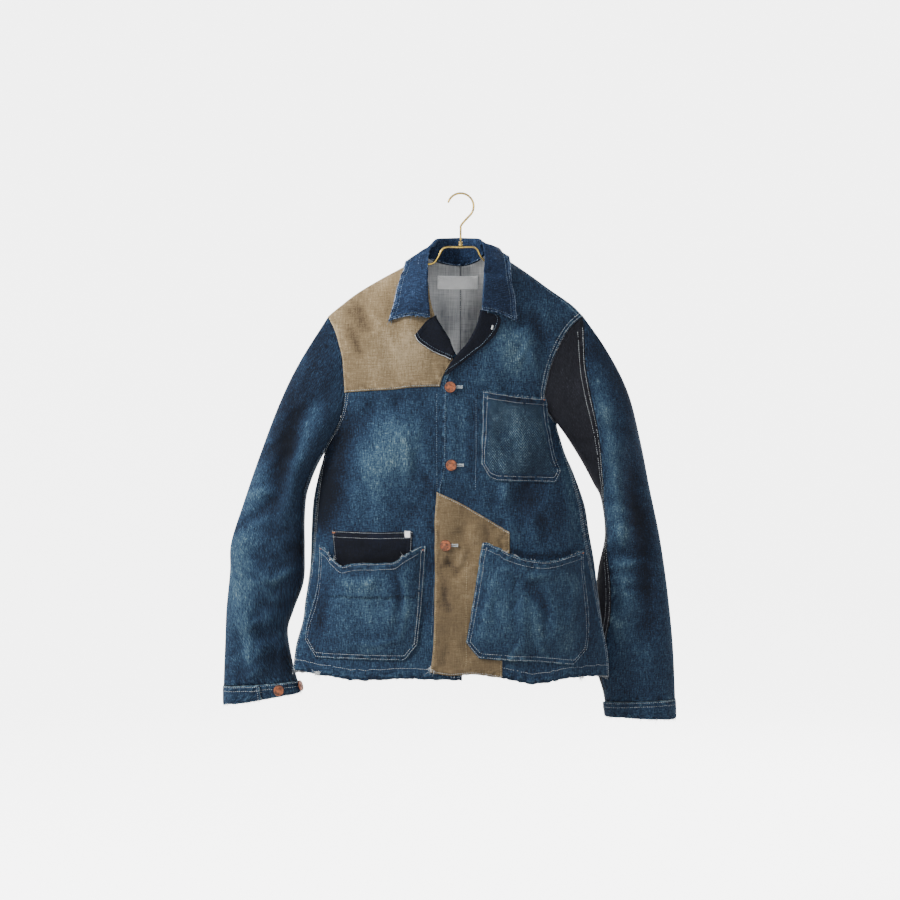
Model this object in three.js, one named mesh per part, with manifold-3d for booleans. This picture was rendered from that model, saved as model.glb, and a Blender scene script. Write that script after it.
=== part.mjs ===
// A patched denim work jacket hanging on a wire hanger.
// Millimetres, +Z up, the jacket's front towards -Y, right and left are the wearer's (the right is at -X).
// The origin is the inside of the hook's top. "Drop" is a distance below it, so z = -drop.
import * as THREE from 'three';
import { mergeVertices } from 'three/addons/utils/BufferGeometryUtils.js';
import Module from 'manifold-3d';

const wasm = await Module();
wasm.setup();

// Cloth and seams
const cloth = 1.6; // one thickness of denim with its turnings
const seamGap = 0.3;
const patchCloth = 1.2;
const labelCloth = 0.7;
const layerGap = 0.4; // between cloths that lie on each other
const cuffCloth = 3;
const collarCloth = 2;

// Body: how far each side seam lies from the middle, by drop
const sideSeamLeft = profile([
  [195, 199], [249, 181], [313, 164], [367, 154], [393, 160], [417, 167], [446, 177], [497, 191],
  [540, 197], [588, 207], [635, 216], [689, 226], [738, 235], [777, 237],
]);
const sideSeamRight = profile([
  [195, -215], [404, -217], [441, -223], [489, -229], [553, -234], [595, -238], [649, -248],
  [681, -252], [721, -263], [759, -268], [777, -270],
]);
// How far the back stands out sideways past the seam, by drop
const backRoundLeft = profile([
  [367, 0], [400, 4], [446, 15], [497, 22], [540, 24], [588, 22], [635, 16], [689, 8], [777, 1],
]);
const backRoundRight = profile([
  [404, 0], [425, 6], [441, 12], [473, 19], [505, 21], [561, 18], [609, 12], [645, 7], [681, 5], [777, 1],
]);
// Drop of the shoulder ridge, by x, carried on as a hump across the open neck
const shoulderRidge = profile([
  [-212, 196], [-196, 183], [-166, 160], [-126, 136], [-89, 116], [-59, 97], [-30, 84], [-5, 80],
  [22, 80], [47, 86], [74, 104], [111, 129], [141, 151], [178, 177], [196, 195],
]);
const halfDepth = profile([[90, 44], [195, 42], [400, 50], [600, 56], [790, 60]]);
const neckBulge = { x: -3, drop: 112, wide: 80, tall: 90, depth: 26 };
const sideRoundness = { power: 2.6, fullness: 0.62, backFrom: 0.6, backFull: 0.9 };
const foldsDieAway = 1.6; // folds reach their full height where the rounding passes one over this
const topRoundness = { reach: 90, power: 2, fullness: 0.75 };
const workingHem = 792; // the working surface runs a little past the lowest hem
const topDrop = 80;
const rowSpacing = 1.4; // rows lie closer together at the shoulders
const frontCells = { columns: 30, rows: 22 };
const backCells = { columns: 24, rows: 18 };

// Soft folds: a ridge (height > 0) or trough along a path of [x, drop] points
const frontFolds = [
  { path: [[-68, 367], [-112, 418], [-156, 468]], width: 34, height: 6 },
  { path: [[-169, 171], [-158, 200], [-143, 227]], width: 15, height: -4 },
  { path: [[-128, 330], [-170, 372], [-206, 420]], width: 20, height: -6 },
  { path: [[-60, 480], [-90, 520], [-100, 556]], width: 26, height: -4 },
  { path: [[-238, 600], [-226, 680], [-228, 765]], width: 16, height: -5 },
  { path: [[105, 191], [121, 209], [134, 228], [138, 262]], width: 14, height: -7 },
  { path: [[92, 214], [112, 240], [118, 282]], width: 15, height: 5 },
  { path: [[60, 180], [68, 240], [66, 300]], width: 20, height: 3 },
  { path: [[148, 375], [120, 452], [70, 520]], width: 22, height: -6 },
  { path: [[168, 430], [178, 492], [190, 560]], width: 15, height: 5 },
  { path: [[4, 465], [10, 520], [2, 560]], width: 18, height: -3 },
  { path: [[212, 640], [206, 700], [208, 772]], width: 15, height: -5 },
  { path: [[-27, 583], [-14, 590], [2, 612]], width: 12, height: -4 },
];
const backFolds = [
  { path: [[-150, 230], [-128, 320], [-136, 430]], width: 24, height: -6 },
  { path: [[138, 230], [118, 320], [122, 430]], width: 24, height: -6 },
  { path: [[-52, 420], [-70, 560], [-58, 720]], width: 30, height: 6 },
  { path: [[62, 430], [74, 560], [66, 720]], width: 30, height: 6 },
  { path: [[0, 480], [4, 620], [0, 770]], width: 30, height: -6 },
  { path: [[-190, 470], [-168, 560], [-178, 700]], width: 24, height: -5 },
  { path: [[160, 470], [150, 560], [160, 700]], width: 24, height: -5 },
];

// Cut edges of the panels, as [x, drop]
const armholeFrontRight = [
  [-212, 196], [-201, 217], [-194, 238], [-188, 262], [-186, 284], [-184, 320], [-188, 348],
  [-199, 377], [-217, 404],
];
const armholeBackRight = [[-212, 196], [-200, 233], [-192, 281], [-190, 329], [-198, 375], [-217, 404]];
const armholeFrontLeft = [
  [196, 195], [177, 211], [163, 231], [151, 255], [142, 279], [136, 305], [133, 326], [138, 347],
  [154, 367],
];
const armholeBackLeft = [[196, 195], [173, 233], [157, 273], [149, 313], [146, 343], [154, 367]];
const armholeSteps = 12;
const rollLineRight = [[-59, 97], [-52, 145], [-47, 177], [-38, 207], [-21, 236], [-7, 259], [-3, 268]];
const rollLineLeft = [
  [47, 86], [37, 137], [34, 169], [32, 198], [24, 222], [12, 243], [-7, 265], [-25, 292], [-29, 308],
];
const rollSteps = { right: 9, left: 12 };
const frontEdgeLeft = [[-30, 400], [-31, 438], [-38, 475], [-41, 538], [-41, 628], [-43, 713], [-48, 758]];
const frontEdgeRight = [[2, 329], [4, 457], [2, 771]];
const hemFrontRight = [[2, 771], [-54, 768], [-99, 768], [-150, 771], [-196, 768], [-227, 764], [-272, 758]];
const hemFrontLeft = [
  [-48, 758], [-17, 763], [20, 761], [65, 767], [106, 776], [127, 776], [170, 770], [213, 767], [241, 770],
];
const hemBackRight = [[-90, 774], [-190, 772], [-276, 764]];
const hemBackLeft = [[90, 776], [170, 772], [246, 774]];
const hemBackMiddle = 772;
const neckBackRight = [[-59, 97], [-42, 104], [-22, 108]];
const neckBackLeft = [[15, 108], [32, 101], [47, 86]];
const neckBackMiddle = 110;
// The cuts run out past the side seams and the shoulder ridge, where the working surface ends by itself
const pastSideRight = [[-396, 758], [-337, 420], [-216, 406]];
const pastSideLeft = [[366, 770], [274, 390], [153, 369.5]];
const pastShoulderRight = [[-212, 70], [-59, 40]];
const pastShoulderLeft = [[196, 70], [47, 40]];
const overlapLift = { height: cloth + layerGap, from: 10, to: 62 }; // the left front lies on the right one

// What is sewn on the fronts
const shoulderPatchHem = [[-184, 320], [-143, 317], [-110, 315], [-77, 311], [-33, 309]];
const shoulderPatchSide = 318; // its armhole edge ends at this drop
const shoulderPatchEdge = [
  [-29, 294], [-12, 266], [-21, 236], [-38, 207], [-47, 177], [-52, 145], [-59, 97],
];
const frontEdgePatch = [
  [-38, 475], [0, 493], [38, 515], [64, 531], [77, 538], [77, 572], [72, 660], [65, 740],
  [65, 767], [20, 761],
  [-17, 763], [-48, 758], [-43, 713], [-41, 628], [-41, 538],
];
const lapelRightOutline = [
  [-41, 198], [-55, 207], [-73, 228], [-66, 240], [-43, 255], [-15, 267], [-11, 261], [-21, 236],
  [-38, 207],
];
const lapelLeftOutline = [
  [33, 189], [60, 197], [63, 207], [55, 226], [38, 244], [14, 263], [-7, 279], [-25, 294],
  [-7, 265], [12, 243],
  [24, 222], [32, 198],
];
const lapelRoll = { height: 4, reach: 24 }; // the facing stands off the front where it rolls back
const chestPocket = {
  outline: [
    [34, 315], [46, 317], [91, 324], [133, 327], [136, 337], [138, 362], [143, 389], [149, 417], [157, 437],
    [158, 444], [149, 461], [57, 458], [45, 453], [32, 430],
  ],
  centre: [92, 380], half: [62, 72], puff: 4,
};
const lowerPocketRight = {
  outline: [
    [-222, 561], [-209, 567], [-198, 580], [-182, 592], [-164, 588], [-108, 586], [-91, 576], [-69, 563],
    [-57, 561], [-55, 569], [-60, 642], [-68, 714], [-88, 740], [-229, 738], [-247, 711],
    [-244, 684], [-228, 625],
  ],
  centre: [-144, 640], half: [84, 96], puff: 11,
};
const lowerPocketLeft = {
  outline: [
    [34, 554], [55, 561], [72, 571], [106, 582], [139, 584], [166, 578], [194, 569], [196, 600], [202, 650],
    [204, 693], [200, 725], [177, 749], [127, 743], [64, 739], [29, 736], [8, 710], [17, 660], [25, 608],
  ],
  centre: [108, 640], half: [88, 92], puff: 11,
};
const pocketBelow = 2 * patchCloth; // a lower pocket clears the patch or pocket that it lies over
const toolPocketReach = { right: -206, left: -74, bottom: 640, ease: 16 };
const edgePatchEase = [96, 112]; // where the lower left pocket comes down off the tan patch
const toolPocketOutline = [[-204, 536], [-75, 537], [-80, 616], [-196, 614]];
const selvedgeTagOutline = [[-88, 536.5], [-79, 536.5], [-79, 547], [-88, 547]];
const neckLabelOutline = [[-38, 125], [29, 125], [29, 147], [-38, 147]];

// Sleeves: silhouettes from the shoulder and from the armpit down to the cuff's edge
const sleeveLeft = {
  outer: [
    [196, 195], [234, 249], [268, 315], [289, 393], [306, 473], [321, 540], [330, 593], [338, 654],
    [345, 729],
    [348, 804], [349, 844],
  ],
  inner: [
    [154, 367], [169, 387], [193, 425], [213, 462], [226, 489], [233, 547], [223, 601], [217, 668],
    [213, 737],
    [231, 800], [237, 839],
  ],
  armFront: armholeFrontLeft, armBack: armholeBackLeft, side: 1,
  setBack: profile([[0, 0], [0.25, 12], [0.45, 30], [0.6, 42], [0.85, 44], [1, 40]]),
  frontSeam: profile([
    [0, 0.25], [0.05, 0.73], [0.08, 1.03], [0.12, 1.33], [0.16, 1.61], [0.2, 1.94], [0.25, 2.4],
    [0.31, 2.85],
    [0.4, 2.85], [0.5, 2.4], [0.6, 2.2], [0.7, 2.2], [0.8, 2.4], [0.9, 2.85], [1, 3],
  ]),
  upperColumns: 9,
  underColumns: 11,
  folds: [
    { path: [[215, 260], [234, 360], [251, 483], [264, 575]], width: 22, height: 6 },
    { path: [[258, 400], [277, 470], [290, 535], [302, 640], [296, 760]], width: 17, height: -8 },
    { path: [[228, 483], [262, 500], [312, 512]], width: 10, height: -3 },
    { path: [[236, 560], [270, 574], [316, 566]], width: 12, height: -4 },
    { path: [[240, 690], [276, 660], [320, 668]], width: 14, height: 4 },
  ],
  backFolds: [
    { path: [[200, 330], [250, 470], [262, 620]], width: 24, height: -6 },
    { path: [[232, 500], [270, 520], [318, 512]], width: 13, height: -4 },
    { path: [[232, 600], [280, 620], [326, 606]], width: 14, height: 4 },
  ],
};
const sleeveRight = {
  outer: [
    [-212, 196], [-257, 267], [-289, 332], [-323, 420], [-348, 492], [-369, 558], [-371, 604], [-377, 665],
    [-379, 713], [-381, 761], [-382, 793], [-382, 819],
  ],
  inner: [
    [-217, 404], [-228, 428], [-239, 457], [-247, 484], [-250, 524], [-250, 569], [-252, 620], [-268, 665],
    [-278, 700], [-271, 748], [-263, 779], [-257, 799],
  ],
  armFront: armholeFrontRight, armBack: armholeBackRight, side: -1,
  setBack: profile([[0, 0], [0.25, 6], [0.5, 14], [0.75, 20], [1, 24]]),
  frontSeam: profile([[0, 2.25], [0.15, 2.5], [0.3, 2.75], [1, 2.9]]),
  upperColumns: 11,
  underColumns: 8,
  folds: [
    { path: [[-239, 289], [-262, 350], [-279, 420], [-300, 520]], width: 16, height: -7 },
    { path: [[-226, 330], [-246, 380], [-262, 440], [-276, 520]], width: 13, height: 5 },
    { path: [[-352, 560], [-310, 590], [-258, 604]], width: 14, height: -4 },
    { path: [[-330, 690], [-302, 712], [-282, 786]], width: 14, height: -6 },
    { path: [[-360, 640], [-330, 720], [-336, 786]], width: 16, height: 5 },
  ],
  backFolds: [
    { path: [[-240, 330], [-290, 450], [-306, 600]], width: 24, height: -6 },
    { path: [[-258, 520], [-306, 534], [-356, 520]], width: 14, height: -4 },
    { path: [[-266, 640], [-316, 656], [-368, 640]], width: 14, height: 4 },
  ],
};
const sleeveHalfDepth = profile([[0, 22], [0.1, 32], [0.35, 36], [0.7, 33], [1, 29]]);
const sleeveRows = 19;
const sleeveBackSeam = -2.0; // angle of the hidden seam, from the outer edge towards the back
const headBlend = 0.26; // share of the sleeve over which the armhole's outline dies away
const sleeveFullness = 0.85; // under 1 is squarer than an ellipse
const sleeveFoldsFrom = 0.12; // share of the sleeve at which its folds are full
const sleeveRowSpacing = 1.15;
const headClearance = 1.15; // between the sleeve head and the cut of the armhole
const headSeamEase = 0.25; // the twisted seam edges at the sleeve head are drawn in further
const cuffStart = 0.952;
const cuffLap = 0.75; // angle over which the cuff's two ends lie on each other
const cuffLapEase = 0.7; // angle over which the upper end rises on to the lower one
const cuffColumns = 26;
const sleeveLength = 640;
const cuffEndRight = 1.6; // angle of the upper end, on the front of the sleeve
const cuffEndLeft = 3.05;

// Collar: neck seam, fold and outer edge, as [x, y, z] from the right front end round the back to the left
const collarStations = [
  { seam: onFront(-62, 199, 3.4), fold: onFront(-49, 199, 7.5), edge: onFront(-114, 206, 3.4) },
  { seam: onFront(-66, 168, 3.4), fold: onFront(-52, 167, 8), edge: onFront(-105, 175, 3.8) },
  { seam: onFront(-67, 140, 3.4), fold: onFront(-53, 137, 8.5), edge: onFront(-97, 141, 4.5) },
  { seam: onShoulder(-66, -18, 4.5), fold: [-49, -21, -107], edge: onShoulder(-91, -17, 5.5) },
  { seam: onShoulder(-62, 0, 6), fold: [-46, -2, -90], edge: onShoulder(-87, 0, 7) },
  { seam: onShoulder(-56, 18, 4), fold: [-41, 14, -75], edge: onShoulder(-79, 24, 6) },
  { seam: onBack(-44, 103, -0.8), fold: [-36, 27, -69], edge: onBack(-64, 122, 4) },
  { seam: onBack(-22, 107.3, -0.8), fold: [-19, 38, -67], edge: onBack(-36, 131, 4) },
  { seam: onBack(-3, 109.4, -0.8), fold: [-3, 42, -66], edge: onBack(-3, 133, 4) },
  { seam: onBack(15, 107.3, -0.8), fold: [13, 38, -67], edge: onBack(31, 130, 4) },
  { seam: onBack(33, 99.6, -0.8), fold: [28, 27, -69], edge: onBack(56, 120, 4) },
  { seam: onShoulder(46, 18, 4), fold: [31, 14, -74], edge: onShoulder(69, 24, 6) },
  { seam: onShoulder(51, 0, 6), fold: [33, -2, -88], edge: onShoulder(76, 0, 7) },
  { seam: onShoulder(54, -18, 4.5), fold: [35, -21, -106], edge: onShoulder(79, -17, 5.5) },
  { seam: onFront(53, 136, 1.8), fold: onFront(37, 137, 8.5), edge: onFront(80, 141, 3.4) },
  { seam: onFront(49, 164, 1.8), fold: onFront(35, 165, 8), edge: onFront(86, 175, 3) },
  { seam: onFront(46, 186, 2.6), fold: onFront(34, 187, 7.5), edge: onFront(88, 207, 3) },
];
const collarSteps = 32;
const foldHalf = 2.4; // half the width of the turned fold
const foldSides = 1.6; // how far its sides lie below its top
const leafBulge = 3;
const collarOverCloth = 2.2; // its middle plane off the shoulders
const collarOverPatch = 3.8;
const overRidge = { height: 3, reach: 8 }; // more where it bends over the shoulder ridge
const collarBackShare = 0.14; // half the share of the collar whose stand rises inside the neck
const collarEndRise = 7; // the front ends of the leaf are cut hollow

// Buttons
const tackButton = { radius: 8.8, height: 3.6, shank: 3 };
const frontButtons = [
  { x: -17, drop: 310, over: 0 }, { x: -15, drop: 433, over: 0 },
  { x: -24, drop: 559, over: 0.8 }, // on the tan patch
];
const cuffButtonsRight = [{ t: 0.976, angle: 2.06 }, { t: 0.974, angle: 3.0 }];
const cuffButtonsLeft = [{ t: 0.976, angle: 3.6 }, { t: 0.976, angle: 4.3 }];

// Hanger
const wire = 1.75;
const hookRadius = 20.8;
const hookTip = 165; // degrees
const hookEnd = -40;
const hookTurns = 14;
const shaft = [[1.6, -48.3], [0.1, -56], [0, -75.4]];
const hookSteps = 30;
const armSteps = 48;
const roundSides = 12;
const ferrule = { radius: 3.4, top: 75.7, bottom: 82.5 };
const armsRoute = [
  [-187, 186], [-166, 166.6], [-126, 141], [-89, 121], [-60, 113], [-44, 110], [-36, 100],
  [-30, 89], [-22, 84.6],
  [0, 84.6], [20, 84.6], [27, 89], [32, 99], [42, 108], [60, 109], [74, 112], [92, 124],
  [111, 136], [141, 157], [174, 184],
];

// Colour, roughness and metalness of each finish
const palettes = {
  denim: [0x2f4a68, 0.92, 0], collar: [0x2a4470, 0.92, 0], facing: [0x15192a, 0.9, 0],
  tan: [0xa08c6a, 0.95, 0], charcoal: [0x26262c, 0.93, 0], tape: [0xe4e2da, 0.8, 0],
  copper: [0x8a5540, 0.4, 1], brass: [0x9a8646, 0.3, 1],
};

// A point that stands off the front's cloth at x and a drop.
function onFront(x, drop, above) {
  return [x, -bodyDepth(x, drop, frontFolds) - above, -drop];
}

function onBack(x, drop, above) {
  return [x, bodyDepth(x, drop, backFolds) + above, -drop];
}

// A point above the shoulder's cloth at x and y.
function onShoulder(x, y, above) {
  let [low, high] = [shoulderRidge(x), shoulderRidge(x) + topRoundness.reach];
  while (high - low > 0.1) {
    const middle = (low + high) / 2;
    if (bodyDepth(x, middle, y < 0 ? frontFolds : backFolds) < Math.abs(y)) low = middle;
    else high = middle;
  }
  return [x, y, above - low];
}

// A smooth curve through [key, value] pairs with rising keys, level past both ends.
function profile(pairs) {
  const slope = (i) => {
    const [a, b] = [pairs[Math.max(i - 1, 0)], pairs[Math.min(i + 1, pairs.length - 1)]];
    return (b[1] - a[1]) / (b[0] - a[0]);
  };
  return (key) => {
    if (key <= pairs[0][0]) return pairs[0][1];
    const next = pairs.findIndex((pair) => pair[0] > key);
    if (next < 0) return pairs.at(-1)[1];
    const [a, b] = [pairs[next - 1], pairs[next]];
    const span = b[0] - a[0];
    const s = (key - a[0]) / span;
    const [slopeA, slopeB] = [slope(next - 1) * span, slope(next) * span];
    const level = a[1] * (1 - s) ** 2 * (1 + 2 * s) + b[1] * s ** 2 * (3 - 2 * s);
    return level + slopeA * s * (1 - s) ** 2 - slopeB * s ** 2 * (1 - s);
  };
}

function smoothStep(from, to, value) {
  return THREE.MathUtils.smoothstep(value, from, to);
}

// Distance of a point from a path of [x, drop] points, and how far along the path its foot lies, 0 to 1.
function footOnPath(path, x, drop) {
  const pieces = path.length - 1;
  let foot = { away: Infinity, along: 0 };
  for (let i = 0; i < pieces; i++) {
    const [ax, ad] = path[i];
    const [dx, dd] = [path[i + 1][0] - ax, path[i + 1][1] - ad];
    const s = THREE.MathUtils.clamp(((x - ax) * dx + (drop - ad) * dd) / (dx * dx + dd * dd), 0, 1);
    const away = Math.hypot(x - ax - s * dx, drop - ad - s * dd);
    if (away < foot.away) foot = { away, along: (i + s) / pieces };
  }
  return foot;
}

// Height of all folds at a point: a soft bell across each path, dying away at its ends.
function foldHeight(folds, x, drop) {
  let total = 0;
  for (const { path, width, height } of folds) {
    const { away, along } = footOnPath(path, x, drop);
    total += height * Math.exp(-((away / width) ** 2)) * (1 - Math.abs(2 * along - 1) ** 3);
  }
  return total;
}

// Distance of the body's cloth from the plane of its side seams.
function bodyDepth(x, drop, folds) {
  const [right, left] = [sideSeamRight(drop), sideSeamLeft(drop)];
  const across = Math.min(1, Math.abs((2 * x - right - left) / (left - right)));
  const rounding = (1 - across ** sideRoundness.power) ** sideRoundness.fullness;
  const below = THREE.MathUtils.clamp((drop - shoulderRidge(x)) / topRoundness.reach, 0, 1);
  const crown = (1 - (1 - below) ** topRoundness.power) ** topRoundness.fullness;
  const bulge =
    neckBulge.depth *
    Math.exp(-(((x - neckBulge.x) / neckBulge.wide) ** 2) - ((drop - neckBulge.drop) / neckBulge.tall) ** 2);
  const fold = foldHeight(folds, x, drop) * Math.min(1, foldsDieAway * rounding);
  return (halfDepth(drop) + bulge + fold) * rounding * crown;
}

// The front (face -1) or back (face 1) of the body as rows of points from the ridge to past the hem.
function bodyGrid(face, { columns, rows }) {
  const folds = face < 0 ? frontFolds : backFolds;
  const grid = [];
  for (let i = 0; i <= rows; i++) {
    const down = (i / rows) ** rowSpacing;
    const row = [];
    for (let j = 0; j <= columns; j++) {
      const across = Math.sin(((2 * j) / columns - 1) * (Math.PI / 2));
      let x = 0;
      let drop = topDrop + down * (workingHem - topDrop);
      for (let pass = 0; pass < 8; pass++) {
        const [right, left] = [sideSeamRight(drop), sideSeamLeft(drop)];
        x = (left + right) / 2 + (across * (left - right)) / 2;
        drop = shoulderRidge(x) + down * (workingHem - shoulderRidge(x));
      }
      const depth = i === 0 || j === 0 || j === columns ? 0 : bodyDepth(x, drop, folds);
      if (face > 0) {
        const w = Math.min(1, depth / halfDepth(drop));
        const round = across > 0 ? backRoundLeft(drop) : -backRoundRight(drop);
        const turning = smoothStep(sideRoundness.backFrom, sideRoundness.backFull, Math.abs(across));
        x += 4 * w * (1 - w) * round * turning;
      }
      row.push({ point: new THREE.Vector3(x, face * (depth + seamGap / 2), -drop), x, drop });
    }
    grid.push(row);
  }
  return withNormals(grid, (i, j) => face * (i === 0 || j === 0 || j === columns ? 0 : 1));
}

// Normals of a grid from its neighbours. "facing" gives the sign of a normal's y, or 0 to lay it in the
// seam plane.
function withNormals(grid, facing) {
  const [lastRow, lastColumn] = [grid.length - 1, grid[0].length - 1];
  const { clamp } = THREE.MathUtils;
  const at = (i, j) => grid[clamp(i, 0, lastRow)][clamp(j, 0, lastColumn)].point;
  const centre = at(Math.round(lastRow / 2), Math.round(lastColumn / 2));
  for (let i = 0; i <= lastRow; i++)
    for (let j = 0; j <= lastColumn; j++) {
      const across = at(i, j + 1).clone().sub(at(i, j - 1));
      const down = at(i + 1, j).clone().sub(at(i - 1, j));
      const normal = across.cross(down).normalize();
      const sign = facing(i, j);
      if (sign === 0) {
        normal.y = 0;
        if (normal.dot(at(i, j).clone().sub(centre)) < 0) normal.negate();
        normal.normalize();
      } else if (normal.y * sign < 0) normal.negate();
      grid[i][j].normal = normal;
    }
  return grid;
}

// A wall between two offsets from a grid along its normals.
function wall(grid, inner, outer) {
  const [rows, columns] = [grid.length, grid[0].length];
  const positions = [];
  for (const offset of [outer, inner])
    for (const row of grid)
      for (const cell of row) {
        const { x, y, z } = cell.point.clone().addScaledVector(cell.normal, offset(cell.x, cell.drop));
        positions.push(x, y, z);
      }
  const index = [];
  const id = (layer, i, j) => layer * rows * columns + i * columns + j;
  const quad = (a, b, c, d) => index.push(a, b, c, a, c, d);
  for (let i = 0; i < rows - 1; i++)
    for (let j = 0; j < columns - 1; j++) {
      quad(id(0, i, j), id(0, i + 1, j), id(0, i + 1, j + 1), id(0, i, j + 1));
      quad(id(1, i, j), id(1, i, j + 1), id(1, i + 1, j + 1), id(1, i + 1, j));
    }
  for (let j = 0; j < columns - 1; j++) {
    quad(id(0, 0, j), id(0, 0, j + 1), id(1, 0, j + 1), id(1, 0, j));
    quad(id(0, rows - 1, j + 1), id(0, rows - 1, j), id(1, rows - 1, j), id(1, rows - 1, j + 1));
  }
  for (let i = 0; i < rows - 1; i++) {
    quad(id(0, i, 0), id(1, i, 0), id(1, i + 1, 0), id(0, i + 1, 0)); // split as the facing edge's is
    quad(id(0, i, columns - 1), id(0, i + 1, columns - 1), id(1, i + 1, columns - 1), id(1, i, columns - 1));
  }
  const geometry = new THREE.BufferGeometry();
  geometry.setAttribute('position', new THREE.Float32BufferAttribute(positions, 3));
  geometry.setIndex(index);
  return facingOut(geometry);
}

// Turns a closed shell's faces outwards if they point in.
function facingOut(geometry) {
  const [place, index] = [geometry.attributes.position, geometry.index];
  const corner = (k) => new THREE.Vector3().fromBufferAttribute(place, index.getX(k));
  let volume = 0;
  for (let k = 0; k < index.count; k += 3) volume += corner(k).dot(corner(k + 1).cross(corner(k + 2)));
  if (volume < 0)
    for (let k = 0; k < index.count; k += 3) {
      const second = index.getX(k + 1);
      index.setX(k + 1, index.getX(k + 2));
      index.setX(k + 2, second);
    }
  return geometry;
}

function solid(geometry) {
  const plain = geometry.clone();
  plain.deleteAttribute('normal');
  plain.deleteAttribute('uv');
  const merged = mergeVertices(plain, 1e-4);
  const mesh = new wasm.Mesh({
    numProp: 3,
    vertProperties: new Float32Array(merged.attributes.position.array),
    triVerts: new Uint32Array(merged.index.array),
  });
  return new wasm.Manifold(mesh);
}

// Cuts a wall to an outline of [x, drop] points, straight through from front to back.
function cutTo(geometry, outline) {
  const shape = new THREE.Shape(outline.map(([x, drop]) => new THREE.Vector2(x, -drop)));
  const reach = 240;
  const prism = new THREE.ExtrudeGeometry(shape, { depth: 2 * reach, bevelEnabled: false });
  prism.rotateX(Math.PI / 2).translate(0, reach, 0);
  const mesh = solid(geometry).intersect(solid(prism)).getMesh();
  const result = new THREE.BufferGeometry();
  const places = [];
  for (let i = 0; i < mesh.vertProperties.length; i += mesh.numProp)
    places.push(...mesh.vertProperties.slice(i, i + 3));
  result.setAttribute('position', new THREE.Float32BufferAttribute(places, 3));
  result.setIndex([...mesh.triVerts]);
  return result;
}

// Points of an armhole, closer together at the shoulder and the armpit.
function armholePoints(points) {
  const curve = new THREE.SplineCurve(points.map(([x, drop]) => new THREE.Vector2(x, drop)));
  return Array.from({ length: armholeSteps + 1 }, (_, k) => {
    const { x, y } = curve.getPointAt((1 - Math.cos((Math.PI * k) / armholeSteps)) / 2);
    return [x, y];
  });
}

function softCurve(points, steps) {
  return new THREE.SplineCurve(points.map(([x, drop]) => new THREE.Vector2(x, drop)))
    .getSpacedPoints(steps)
    .map(({ x, y }) => [x, y]);
}

const jacket = new THREE.Group();

function add(name, geometry, palette) {
  geometry.computeVertexNormals();
  const [color, roughness, metalness] = palettes[palette];
  const finish = new THREE.MeshStandardMaterial({ color, roughness, metalness, flatShading: true });
  const mesh = new THREE.Mesh(geometry, finish);
  mesh.name = name;
  jacket.add(mesh);
  return mesh;
}

// Fronts and backs
const frontGrid = bodyGrid(-1, frontCells);
const backGrid = bodyGrid(1, backCells);
const lap = (x) => overlapLift.height * (1 - smoothStep(overlapLift.from, overlapLift.to, x));

function addFronts() {
  const right = [
    ...softCurve(rollLineRight, rollSteps.right), ...frontEdgeRight, ...hemFrontRight.slice(1),
    ...pastSideRight, ...armholePoints(armholeFrontRight).reverse(), ...pastShoulderRight,
  ];
  const left = [
    ...softCurve(rollLineLeft, rollSteps.left), ...frontEdgeLeft, ...hemFrontLeft.slice(1),
    ...pastSideLeft, ...armholePoints(armholeFrontLeft).reverse(), ...pastShoulderLeft,
  ];
  add('front_right', cutTo(wall(frontGrid, () => -cloth, () => 0), right), 'denim');
  add('front_left', cutTo(wall(frontGrid, (x) => lap(x) - cloth, lap), left), 'denim');
}

function addBacks() {
  const seam = seamGap / 2;
  const right = [
    ...neckBackRight, [-seam, neckBackMiddle], [-seam, hemBackMiddle], ...hemBackRight,
    ...pastSideRight, ...armholePoints(armholeBackRight).reverse(), ...pastShoulderRight,
  ];
  const left = [
    ...neckBackLeft.toReversed(), [seam, neckBackMiddle], [seam, hemBackMiddle], ...hemBackLeft,
    ...pastSideLeft, ...armholePoints(armholeBackLeft).reverse(), ...pastShoulderLeft,
  ];
  const back = wall(backGrid, () => -cloth, () => 0);
  add('back_right', cutTo(back, right), 'denim');
  add('back_left', cutTo(back, left), 'denim');
  const label = wall(backGrid, () => -cloth - layerGap - labelCloth, () => -cloth - layerGap);
  add('label_neck', cutTo(label, neckLabelOutline), 'tape');
}

// A patch lies on its panel; "base" is the offset of what is already there.
function patch(base, outline) {
  const geometry = wall(
    frontGrid,
    (x, drop) => base(x, drop) + layerGap,
    (x, drop) => base(x, drop) + layerGap + patchCloth,
  );
  return cutTo(geometry, outline);
}

// A patch pocket is sewn close at its edges and stands off in the middle and at its mouth.
function pocket(base, { outline, centre, half, puff }) {
  const stand = (x, drop) => {
    const [across, down] = [(x - centre[0]) / half[0], (drop - centre[1]) / half[1]];
    return puff * (1 - Math.min(1, Math.abs(across)) ** 3) * (1 - THREE.MathUtils.clamp(down, 0, 1) ** 3);
  };
  return patch((x, drop) => base(x, drop) + stand(x, drop), outline);
}

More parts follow.
